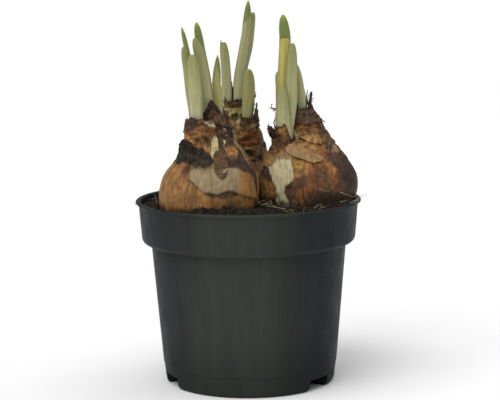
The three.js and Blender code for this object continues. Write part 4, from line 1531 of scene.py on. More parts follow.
    def add_collar(self, shell: Shell, nose: Nose, collar: Collar, order: int) -> None:
        """Adds one torn layer round a nose. It lies inside the nose where it isn't seen.

        Args:
            shell: Shell to add to.
            nose: Nose that it grows round.
            collar: Layer to add.
            order: Number of the layer on its nose.
        """
        angles = np.arange(0, 360, NOSE_STEP)
        turn = np.radians(angles)
        seed = int(nose.seed * 10) + order * 13
        shown = np.clip(1 - (degrees_apart(angles, collar.at) - collar.half) / 25, 0, 1)
        ring = around(turn, 1, order)
        broad = noise(ring * 2.2, seed)
        spikes = np.abs(noise(ring * 9, seed + 1)) + 0.5 * np.abs(noise(ring * 21, seed + 2))
        top = collar.high - collar.ragged * (0.5 + 0.5 * broad) - 0.7 * collar.ragged * spikes
        top = collar.low + 1 + (top - collar.low - 1) * shown
        shares = np.linspace(0, 1, 22)[:, None]
        height = collar.low + (top - collar.low) * shares
        angle = np.broadcast_to(angles, height.shape)
        flutter = 0.4 * noise(ring * 5, seed + 3)
        lift = (collar.lift * (0.6 + 1.6 * flutter)) * shares**0.7 + collar.curl * (0.5 + broad) * shares**4
        place = around(turn, NOSE_RADIUS, height * 0.4)
        lift = lift + 0.22 * fractal(place * 0.8, seed + 4)
        lift = (lift + 0.9) * shown - 0.9 - 0.9 * (1 - smoothstep(0, 0.2, shares))
        lift = lift + 0.7 * wrinkles(angle, height, NOSE_RADIUS, self.pattern)[0]
        outer = on_column(nose.rows, angle, height, lift)
        inner = on_column(nose.rows, angle, height, lift - self.thickness)
        inner[..., 2] -= 0.15 * shares
        tone = collar.tone + 0.35 * fractal(place * 0.35, seed + 5, 2)
        edge = smoothstep(1.5, 0, top - height)
        shell.slab(outer, inner, True, self.fields(angle, height, nose.patches, NOSE_RADIUS, tone, edge))

    def add_flap(self, shell: Shell, rows: Sequence[Sequence[float]], flap: Flap, patches: Markings) -> None:
        """Adds one piece of loose skin.

        Args:
            shell: Shell to add to.
            rows: Table of the column that it lies on.
            flap: Flap to add.
            patches: Markings of the surface.
        """
        start = max(flap.lower[0][0], flap.upper[0][0])
        end = min(flap.lower[-1][0], flap.upper[-1][0])
        on_body = rows is self.body
        radius, step = (BODY_RADIUS, 0.9) if on_body else (NOSE_RADIUS, NOSE_STEP)
        columns = max(16, int((end - start) / step))
        angles = np.linspace(start, end, columns)
        turn = np.radians(angles)
        ring = around(turn, radius, 0.0) * 0.5
        low = np.interp(angles, *np.array(flap.lower).T) + flap.ragged * fractal(ring, flap.seed)
        high = np.interp(angles, *np.array(flap.upper).T) + 0.6 * flap.ragged * fractal(ring, flap.seed + 1)
        low = np.minimum(low, high - 0.3)
        up = np.linspace(0, 1, 18)[:, None]
        along = np.linspace(0, 1, columns)
        height = low + (high - low) * up
        angle = np.broadcast_to(angles, height.shape)
        at_low, at_high, at_start, at_end = flap.lifts
        lift = at_low * (1 - up) ** 3 + at_high * up**3
        lift = np.maximum(np.maximum(lift, at_start * (1 - along) ** 5), at_end * along**5)
        place = around(turn, radius, height)
        lift = lift * (1 + 0.5 * noise(place * 0.3, flap.seed + 2)) + 0.14
        skin = self.skin(angle, height) if on_body else 0.2 + wrinkles(angle, height, radius, self.pattern)[0]
        skin = skin + flap.lumps * fractal(place * (0.5, 0.5, 0.7), flap.seed + 4)
        outer = on_column(rows, angle, height, skin + lift + 0.1)
        inner = on_column(rows, angle, height, skin + lift - self.thickness)
        edge = np.maximum(smoothstep(0.16, 0, up), smoothstep(0.9, 1, up) * (at_high > 0.2))
        tone = flap.tone + 0.25 * fractal(place * 0.25, flap.seed + 3, 2)
        shown = patches if flap.own is None else flap.own
        fields = self.fields(angle, height, shown, radius, tone, 0.7 * edge, flap.marks)
        shell.slab(outer, inner, False, fields)

    def build(self, effects: Effects) -> None:
        """Builds the bulb's body and its noses.

        Args:
            effects: Shared node groups.
        """
        finish = self.finish.material(effects)
        body = Shell()
        self.add_body(body)
        for flap in self.flaps:
            self.add_flap(body, self.body, flap, self.patches)
        noses = Shell()
        for nose in self.noses:
            self.add_nose(noses, nose)
            for order, collar in enumerate(nose.collars):
                self.add_collar(noses, nose, collar, order)
            for flap in nose.flaps:
                self.add_flap(noses, nose.rows, flap, nose.patches)
        for shell, suffix in ((body, "body"), (noses, "noses")):
            piece = shell.piece(f"{self.slot.value}_{suffix}")
            piece.data.materials.append(finish)
            piece.data.set_sharp_from_angle(angle=math.radians(50))
            settle(piece, self.slot, [self.slot.value])


@dataclass(frozen=True)
class Leaf:
    """A young leaf: a flat oval blade, bent so that its middle stands forward.

    Rows are height, centre x and width. Green is the outline of its green part as x and height,
    and fold is the height of a crease right across it.
    """

    name: str
    y: float
    bow: float
    thick: float
    cup: float
    blunt: float
    rows: tuple[tuple[float, float, float], ...]
    tip: tuple[float, float]
    tone: LeafTone = LeafTone.PALE
    green: Outline = ()
    fold: float | None = None
    fold_depth: float = 0.22
    fold_width: float = 0.5
    rib: float = 0.045
    ribs: int = 17
    wave: float = 0.06
    sides: int = 36
    rings: int = 92

    def ring(self, height: Array, x: Array, width: Array, fade: Array) -> Array:
        """Places rings round the blade.

        Args:
            height: Height of each ring.
            x: Centre of each ring.
            width: Width of each ring.
            fade: Share of the full thickness of each ring.

        Returns:
            Points as rings, sides and coordinates.
        """
        height, x, width, fade = (values[:, None] for values in (height, x, width, fade))
        turn = np.radians(np.arange(0, 360, 360 / self.sides))
        across = np.cos(turn)
        ribs = self.rib * np.cos(across * self.ribs + len(self.name)) * smoothstep(1, 0.7, np.abs(across))
        depth = (self.thick / 2 + ribs) * fade * np.sin(turn)
        bend = self.cup * fade * (1 - across**2)
        wave = self.wave * np.sin(height * 0.19 + self.y)
        y = self.y + self.bow * self.rise(height) ** 2 + depth - bend
        if self.fold is not None:
            y = y - self.fold_depth * np.exp(-(((height - self.fold) / self.fold_width) ** 2)) * np.sin(turn)
        return np.stack(np.broadcast_arrays(x + width / 2 * across + wave, y, height), -1)

    def rise(self, height: Array) -> Array:
        """Gives the share of the way from the foot to the tip at each height."""
        foot = self.rows[0][0]
        return (height - foot) / (self.tip[0] - foot)

    def build(self, finishes: dict[LeafTone, bpy.types.Material]) -> None:
        """Builds the leaf.

        Args:
            finishes: Material of each kind of leaf.
        """
        shoulder, shoulder_x, shoulder_width = self.rows[-1]
        heights = np.linspace(self.rows[0][0], shoulder, self.rings)
        x, width = between(self.rows, heights)
        turns = np.radians(np.linspace(0, 88, 20)[1:])
        rise = np.sin(turns)
        heights = np.concatenate([heights, shoulder + (self.tip[0] - shoulder) * rise])
        x = np.concatenate([x, shoulder_x + (self.tip[1] - shoulder_x) * rise])
        width = np.concatenate([width, np.maximum(0.35, shoulder_width * np.cos(turns) ** self.blunt)])
        fade = np.concatenate([np.ones(self.rings), 0.4 + 0.6 * np.cos(turns)])
        grid = self.ring(heights, x, width, fade)
        rows, columns = grid.shape[:2]
        points = np.concatenate([grid.reshape(-1, 3), [grid[0].mean(0), grid[-1].mean(0) + (0, 0, 0.1)]])
        piece = on_mesh(self.name + "_blade", points, capped_faces(rows, columns))
        side = np.concatenate([np.repeat(x, columns), x[[0, -1]]])
        across = np.abs(np.cos(np.radians(np.arange(0, 360, 360 / columns))))
        local = np.stack([points[:, 0] - side, 2 * (points[:, 1] - self.y), points[:, 2]], -1)
        set_field(piece, "grain", local + (len(self.name) * 3.7, 0, 0))
        set_field(piece, "rise", self.rise(points[:, 2]))
        set_field(piece, "edge", np.concatenate([np.tile(across, rows), [0, 0]]))
        inside = np.full(len(points), FAR_OUTSIDE)
        if self.green:
            inside = inside_outline(points[:, 0], points[:, 2], self.green)
        set_field(piece, "green", inside)
        piece.data.materials.append(finishes[self.tone])
        settle(piece, Slot.LEAF_GREEN if self.tone is LeafTone.GREEN else Slot.LEAF_PALE, [self.name])


def fibre_tree() -> bpy.types.NodeTree:
    """Turns edge paths into thin uneven tapered fibres.

    Returns:
        The tree, with the inputs Radius, Flat, Wobble, Seed and Material.
    """
    inputs = dict.fromkeys(("Radius", "Flat", "Wobble", "Seed"), "Float") | {"Material": "Material"}
    board, given = new_tree("fibres_along_paths", inputs)
    wanted = given.outputs
    curve = board.put("GeometryNodeMeshToCurve", {"Mesh": wanted["Geometry"]})
    smooth = board.put("GeometryNodeCurveSplineType", {"Curve": curve.outputs[0]}, spline_type="CATMULL_ROM")
    feeds = {"Curve": smooth.outputs[0], "Length": 0.8 * MM}
    even = board.put("GeometryNodeResampleCurve", feeds, mode="LENGTH")
    position = board.put("GeometryNodeInputPosition").outputs[0]
    feeds = {"Vector": position, "W": wanted["Seed"], "Scale": 260.0, "Detail": 2.0}
    rough = board.put("ShaderNodeTexNoise", feeds, noise_dimensions="4D").outputs["Color"]
    bent = board.shaken(even.outputs[0], rough, wanted["Wobble"])
    along = board.put("GeometryNodeSplineParameter").outputs["Factor"]
    taper = board.times(along, -0.6, 1.0)
    lumps = board.put("ShaderNodeTexNoise", {"Vector": position, "Scale": 500.0, "Detail": 1.0}).outputs[0]
    thick = board.times(board.times(lumps, 1.2, 0.4), taper)
    radius = board.times(thick, wanted["Radius"])
    circle = board.put("GeometryNodeCurvePrimitiveCircle", {"Resolution": 6, "Radius": 1.0})
    squash = board.put("ShaderNodeCombineXYZ", {0: 1.0, 1: wanted["Flat"], 2: 1.0}).outputs[0]
    profile = board.put("GeometryNodeTransform", {"Geometry": circle.outputs[0], "Scale": squash})
    feeds = {"Curve": bent, "Profile Curve": profile.outputs[0], "Scale": radius, "Fill Caps": True}
    mesh = board.put("GeometryNodeCurveToMesh", feeds)
    real = board.put("GeometryNodeRealizeInstances", {"Geometry": mesh.outputs[0]})
    feeds = {"Geometry": real.outputs[0], "Material": wanted["Material"]}
    dressed = board.put("GeometryNodeSetMaterial", feeds)
    board.put("NodeGroupOutput", {"Geometry": dressed.outputs[0]})
    return board.tree


@dataclass(frozen=True)
class Strands:
    """Fibres that follow paths of x, y and height above the rim."""

    name: str
    paths: tuple[Path, ...]
    radius: float
    slot: Slot
    nodes: tuple[str, ...]
    flat: float = 1.0
    wobble: float = 0.6
    seed: float = 0.0

    def build(self, tree: bpy.types.NodeTree, finish: bpy.types.Material) -> None:
        """Builds the fibres.

        Args:
            tree: Geometry node tree of the fibres.
            finish: Material of the fibres.
        """
        points: list[tuple[float, ...]] = []
        edges: list[tuple[int, int]] = []
        for path in self.paths:
            edges += [(len(points) + step, len(points) + step + 1) for step in range(len(path) - 1)]
            points += [(x * MM, y * MM, (RIM_HEIGHT + height) * MM) for x, y, height in path]
        mesh = bpy.data.meshes.new(self.name + "_paths")
        mesh.from_pydata(points, edges, [])
        source = bpy.data.objects.new(self.name + "_paths", mesh)
        bpy.context.scene.collection.objects.link(source)
        sizes = {"Radius": self.radius * MM, "Flat": self.flat, "Wobble": self.wobble * MM, "Seed": self.seed}
        settle(grow(source, tree, self.name, sizes | {"Material": finish}), self.slot, self.nodes)


@dataclass
class Studio:
    """Pale floor, soft lights, and a camera at the photographed angle.

    Each light is a strength and the degrees that it is wide.
    """

    camera_place: tuple[float, float, float] = (0.93, -887.3, 131.09)
    pitch: float = 0.1476
    roll: float = -0.0123
    lens: float = 120.99
    floor_size: float = 60.0
    key: tuple[float, float] = (1.7, 50)
    key_from: tuple[float, float, float] = (-0.5, -0.55, 1.1)
    top: tuple[float, float] = (0.9, 70)
    top_from: tuple[float, float, float] = (0.3, 0.2, 1.0)
    sky: float = 0.42

    def build(self) -> None:
        """Builds the floor, the lights, the world and the camera."""
        scene = bpy.context.scene
        scene.view_settings.view_transform = "Standard"
        x, y, height = self.camera_place
        data = bpy.data.cameras.new("camera")
        data.lens = self.lens
        data.sensor_width = 36
        camera = bpy.data.objects.new("camera", data)
        turned = Euler((math.pi / 2 - self.pitch, 0, 0)).to_matrix() @ Euler((0, 0, self.roll)).to_matrix()
        camera.rotation_euler = turned.to_euler()
        camera.location = (x * MM, y * MM, (RIM_HEIGHT + height) * MM)
        scene.collection.objects.link(camera)
        scene.camera = camera
        self.light("key", self.key_from, self.key)
        self.light("top", self.top_from, self.top)
        world = bpy.data.worlds.new("studio")
        world.use_nodes = True
        board = Board(world.node_tree)
        seen = board.put("ShaderNodeLightPath").outputs["Is Camera Ray"]
        background = world.node_tree.nodes["Background"]
        background.inputs["Color"].default_value = (1, 1, 1, 1)
        board.feed(background.inputs["Strength"], board.span(seen, 0.0, 1.0, self.sky, 1.0))
        scene.world = world
        self.floor()

    def light(self, name: str, place: tuple[float, float, float], kind: tuple[float, float]) -> None:
        """Adds a soft distant light.

        Args:
            name: Name of the light.
            place: Where the light comes from.
            kind: Strength of the light, and the degrees that it is wide.
        """
        data = bpy.data.lights.new(name, "SUN")
        data.energy, spread = kind
        data.angle = math.radians(spread)
        lamp = bpy.data.objects.new(name, data)
        lamp.location = place
        lamp.rotation_euler = (-Vector(place)).to_track_quat("-Z", "Y").to_euler()
        bpy.context.scene.collection.objects.link(lamp)

    def floor(self) -> None:
        """Adds the plain pale floor."""
        half = self.floor_size / 2 / MM
        corners = [(-half, -half), (half, -half), (half, half), (-half, half)]
        points = [(x, y, -RIM_HEIGHT) for x, y in corners]
        floor = on_mesh("floor", np.array(points), [[0, 1, 2, 3]])
        board, shader, place = new_material("pale_floor")
        shade = board.span(board.grain(place, 0.01, 2.0), 0.3, 0.7)
        colour = board.mix(shade, tint(244, 244, 244), tint(248, 248, 248))
        floor.data.materials.append(finished(board, shader, {"Base Color": colour, "Roughness": 0.9}))


def paints(**colours: tuple[tuple[float, ...], tuple[float, ...]]) -> tuple[Paint, ...]:
    """Gives the markings of a bulb in the order in which they cover each other.

    Args:
        **colours: Low and high colour of a marking, in place of its usual ones.

    Returns:
        The markings.
    """
    usual = (
        Paint(Mark.RUST, tint(86, 54, 36), tint(150, 94, 54), (0.6, 0.4, 0.0), soft=1.4, share=0.95),
        Paint(Mark.GOLD, tint(116, 76, 34), tint(184, 134, 74), (0.3, 0.7, 0.0), soft=0.5),
        Paint(Mark.BROWN, tint(58, 42, 30), tint(112, 82, 52), (0.3, 0.7, 0.0), soft=0.7),
        Paint(Mark.DARK, tint(34, 27, 24), tint(74, 54, 42), (0.6, 0.4, 0.0), soft=0.9, share=0.95),
        Paint(Mark.WORN, tint(126, 106, 76), tint(162, 144, 112), (0.55, 0.35, 0.0), 0.45, 1.0, 0.6),
        Paint(Mark.CREAM, tint(164, 150, 106), tint(214, 202, 154), (0.6, 0.3, 0.0), ragged=0.7, soft=0.3),
        Paint(Mark.DUST, tint(38, 32, 27), tint(84, 70, 56), (0.0, 0.3, 0.7), 0.35, 2.4, 2.4, 0.9),
        Paint(Mark.PEAT, tint(29, 26, 23), tint(80, 71, 58), (0.25, 0.5, 0.25), 0.7, 1.4, 0.6),
    )
    return tuple(
        replace(paint, low=colours[paint.mark.value][0], high=colours[paint.mark.value][1])
        if paint.mark.value in colours
        else paint
        for paint in usual
    )


def left_bulb() -> Bulb:
    """Gives the front left bulb: golden tan, with a worn beige flap and a black shoulder."""
    finish = TunicFinish("tunic_left", tint(176, 130, 74), tint(100, 69, 38), tint(80, 52, 31), paints(), 1.0)
    body = (
        (-22, -21, -20, 7, 7),
        (-16, -21, -20, 15.5, 15),
        (-8, -21, -20, 22.3, 21.5),
        (0, -21, -20, 25.2, 24.4),
        (7, -20.9, -20, 25.8, 24.8),
        (13, -20.4, -20, 25, 23.6),
        (18, -19.6, -19.8, 23.2, 21.2),
        (23, -18.9, -19.5, 19.4, 17.2),
        (28, -19.2, -19, 16, 13.6),
        (34, -19.9, -18.4, 11.9, 10.3),
        (39, -20.4, -17.8, 8.8, 6.8),
    )
    patches = {
        Mark.RUST: (
            ((191, 38), (233, 40), (264, 40), (302, 40.4), (304, 37), (271, 36.6), (243, 36.6), (203, 37)),
            ((228, 22.5), (231, 18), (232, 13), (236, 11), (238.5, 11.5), (235, 13.5), (234, 18), (243, 20),
             (240, 23)),
            ((217, 10), (218, 2), (220.5, 2), (220, 10)),
            ((208, 24), (226, 23.5), (228, 21), (220, 20), (210, 22)),
        ),
        Mark.GOLD: (
            ((200, 37), (242, 36.7), (264, 36.4), (275, 36), (271, 28), (254, 30), (241, 31.5), (224, 34)),
            ((303, 31), (323, 31.8), (333, 29), (324, 25.6), (306, 26)),
        ),
        Mark.BROWN: (
            ((272, 29), (285, 30), (304, 31), (300, 27), (303, 24.6), (330, 24), (380, 26), (360, 20),
             (353, 16.5), (331, 17.5), (314, 20.5), (299, 21), (276, 22.5), (269, 26)),
            # Brown below the worn flap's wavy lower edge: partly a stain, partly painted shadow under the
            # lifted edge.
            ((262, 12.5), (268, 10.5), (282, 9.5), (299, 11), (304, 9.5), (312, 8), (299, 6.8), (287, 6.2),
             (275, 7.2), (268, 8.2)),
        ),
        Mark.DARK: (
            ((263, 35.6), (271, 36.2), (276, 34), (273, 31.6), (268, 31.4), (262, 33.5)),
            ((292, 41), (353, 41), (356, 36), (341, 31.6), (311, 31), (287, 29.6), (292, 34)),
            ((322, 31.4), (341, 31.6), (338, 24), (353, 15), (353, 12), (331, 17), (320, 18.6), (313, 20.2),
             (292, 20.8), (300, 27), (305, 26), (322, 26.2), (331, 28.6)),
            ((340, 18), (352, 16), (352, -4), (345, -2), (343, 8)),
        ),
        Mark.WORN: (
            ((344, 35), (351, 34), (348, 24), (341, 20), (339, 22), (342, 28)),
            ((243, 21.5), (259, 21.5), (293, 21), (308, 21), (312, 20.5), (310, 16.5), (311, 12),
             (305, 8.5), (299, 10), (293, 10.5), (287, 9.5), (282, 8.5), (277, 9), (271, 9.5), (265, 10),
             (260, 12), (254, 14), (246, 16.5), (243, 19)),
        ),
        Mark.CREAM: (
            ((336, 39), (341, 39), (333, 37), (325, 36)),
            ((311, 34.4), (315, 34.2), (306, 31.2), (302.5, 31.2)),
            ((275, 36), (295, 36.4), (292, 33), (287, 29.6), (279, 29.2), (273, 25.6), (268, 25.4),
             (269.6, 28), (273, 30.4), (275, 33)),
        ),
        Mark.DUST: (((235, 24), (273, 24), (271, 21.2), (243, 21), (240, 18.5), (234, 20.5)),),
        Mark.PEAT: (
            ((160, 34), (190, 34), (212, 33.5), (249, 32.5), (260, 30), (268, 28.5), (273, 25), (273, 23.5),
             (269, 22.3), (259, 22), (245, 23), (228, 23.5), (206, 25), (180, 26.5)),
        ),
    }
    edge = ((236, 22), (240, 21.5), (243, 19), (246, 16.5), (254, 14), (260, 12), (265, 10), (271, 9.5),
            (277, 9), (282, 8.5), (287, 9.5), (293, 10.5), (299, 10), (305, 8.5), (316, 7), (329, 5),
            (341, 4))
    top = ((236, 23.5), (262, 23), (300, 23.5), (330, 19), (341, 17.5))
    scab_low = ((275, 21), (279, 18.5), (285, 16.5), (290, 17.4), (295, 21.5))
    scab_top = ((275, 23.3), (281, 24.5), (288, 24.2), (295, 23))
    golden_low = ((211, 36.4), (217, 35.5), (239, 34), (258, 32.5), (267, 30.5), (280, 29.5), (296, 28.5),
                  (306, 30), (312, 33), (314, 35.5))
    golden_top = ((211, 38), (260, 37.8), (298, 37), (314, 36.5))
    upper_low = ((196, 38.6), (234, 38), (259, 38), (278, 37.3), (308, 36.3), (352, 36))
    upper_top = ((196, 44.6), (225, 46), (262, 45.5), (281, 45), (300, 43.4), (352, 41.8))
    flaps = (
        Flap(edge, top, (0.75, 0.1, 0.2, 0.1), 0.05, 31, 0.4),
        Flap(
            ((165, 24), (190, 23.6), (220, 24), (240, 25)),
            ((165, 32.6), (188, 33.4), (204, 33), (220, 31.4), (240, 29)), (0.1, 2.4, 0.2, 0.2), -0.5, 35,
            4.0, (Mark.PEAT,),
        ),
        Flap(scab_low, scab_top, (0.7, 0.5, 0.4, 0.5), -0.2, 32, 0.5, (Mark.BROWN,), {}, 1.3),
    )
    left_nose = Nose(
        rows=((24, -25, -20, 10, 9.4), (30, -25, -20.3, 8.6, 8.6), (34, -24.9, -20.6, 7.8, 8),
              (40, -24.6, -21, 7.3, 7.2), (47, -24.3, -21.3, 7.1, 6.6)),
        top=43.2, peaks=((232, 2.6, 74),), throat=(-26.9, -21.2, 4.5, 4.6, 33), seed=2.1, tone=-0.25,
        collars=(
            Collar(26, 34.5, 1.1, -0.9, 200, 40, 5.0, 0.9),
            Collar(38, 45.5, 0.25, -0.3, 250, 120, 1.4, 0.2),
        ),
        patches={
            Mark.RUST: (
                ((214, 40.4), (255, 41), (300, 41.4), (345, 40), (345, 36.5), (302, 36.8), (260, 37),
                 (218, 37.4)),
            ),
            Mark.GOLD: (((214, 37), (260, 36.9), (309, 36), (309, 28), (271, 29), (254, 31), (225, 34)),),
            Mark.BROWN: (
                ((268, 44.8), (294, 44), (323, 41.6), (312, 40.4), (282, 42), (268, 42.6)),
                ((315, 28.5), (352, 28), (352, 22), (313, 22)),
            ),
            Mark.DARK: (
                ((150, 47), (225, 47.4), (257, 47.4), (272, 45.2), (269, 42.4), (248, 40.6), (223, 38.8),
                 (150, 39)),
                ((346, 44), (356, 44), (356, 26), (347, 27)),
            ),
            Mark.CREAM: (
                ((284, 46.6), (303, 45.8), (332, 44.8), (345, 43), (344, 40.8), (307, 41.6), (289, 43.6)),
                ((309, 36.4), (345, 36.4), (346, 28), (319, 27.6), (312, 24), (305, 25), (301, 28.6),
                 (309, 30), (313, 33)),
            ),
            Mark.PEAT: (
                ((150, 36), (215, 34.6), (240, 33), (256, 30.5), (285, 29), (299, 28), (306, 24), (230, 24),
                 (150, 24)),
            ),
        },
        flaps=(
            Flap(upper_low, upper_top, (1.1, 0.15, 0.2, 0.2), 0.0, 42, 0.8, lumps=0.5),
            Flap(
                golden_low, golden_top, (0.9, 0.1, 0.1, 0.9), 0.3, 41, 0.6, (Mark.GOLD,),
                {
                    Mark.BROWN: (((240, 36), (284, 36.6), (284, 32), (262, 33)),),
                    Mark.DARK: (
                        ((286, 36.4), (302, 36.6), (313, 34.4), (311, 31), (297, 30.4), (285, 33)),
                    ),
                },
            ),
        ),
    )
    middle_nose = Nose(
        rows=((26, -14.5, -17.5, 10.3, 9.4), (36, -14.8, -15.5, 8, 8), (44, -16.2, -13.8, 7.1, 6.6),
              (54, -17.6, -12.8, 6, 5.4)),
        top=47.2, peaks=((262, 7.6, 42), (90, 2.5, 50), (335, -4.5, 50)),
        throat=(-17.7, -12.4, 4.2, 3.9, 36), seed=3.7, tone=-0.35,
        collars=(
            Collar(38, 46, 0.35, -0.6, 250, 50, 1.8, 0.3),
            Collar(30, 41.4, 0.4, -0.85, 320, 60, 2.2, 0.3),
        ),
        patches={
            Mark.RUST: (((212, 47.8), (250, 48), (262, 45.8), (237, 44.6), (208, 45)),),
            Mark.GOLD: (((289, 31), (319, 32), (340, 29), (336, 25), (307, 25), (290, 26.6)),),
            Mark.BROWN: (((180, 50), (250, 56), (280, 56), (330, 48), (320, 41.5), (270, 42), (200, 44)),),
            Mark.DARK: (
                ((215, 56), (310, 56), (300, 49), (285, 47), (262, 49.5), (240, 48)),
                ((266, 42), (308, 42.4), (350, 42), (348, 38), (338, 33), (321, 31), (296, 30.4), (266, 29)),
                ((293, 26.4), (332, 26.4), (330, 20), (293, 20)),
            ),
            Mark.WORN: (((334, 41.5), (348, 41.5), (356, 36), (356, 24), (336, 24), (340, 30), (336, 36)),),
            Mark.CREAM: (
                ((292, 40.4), (309, 39.8), (304, 38.4), (292, 39)),
                ((291, 36.8), (299, 36.6), (297, 35.4), (291, 35.2)),
                ((284, 34.2), (290, 34), (288, 30.4), (284, 30.6)),
            ),
        },
        flaps=(
            Flap(
                ((245, 44.6), (262, 43), (280, 42.4), (300, 41), (330, 40.4), (350, 40)),
                ((245, 46.6), (282, 46.6), (305, 44.8), (330, 42.8), (350, 41.6)), (1.0, 0.1, 0.2, 0.2),
                -0.3, 43, 0.9,
            ),
        ),
    )
    return Bulb(Slot.BULB_LEFT, 1.3, finish, body, (left_nose, middle_nose), patches, flaps)


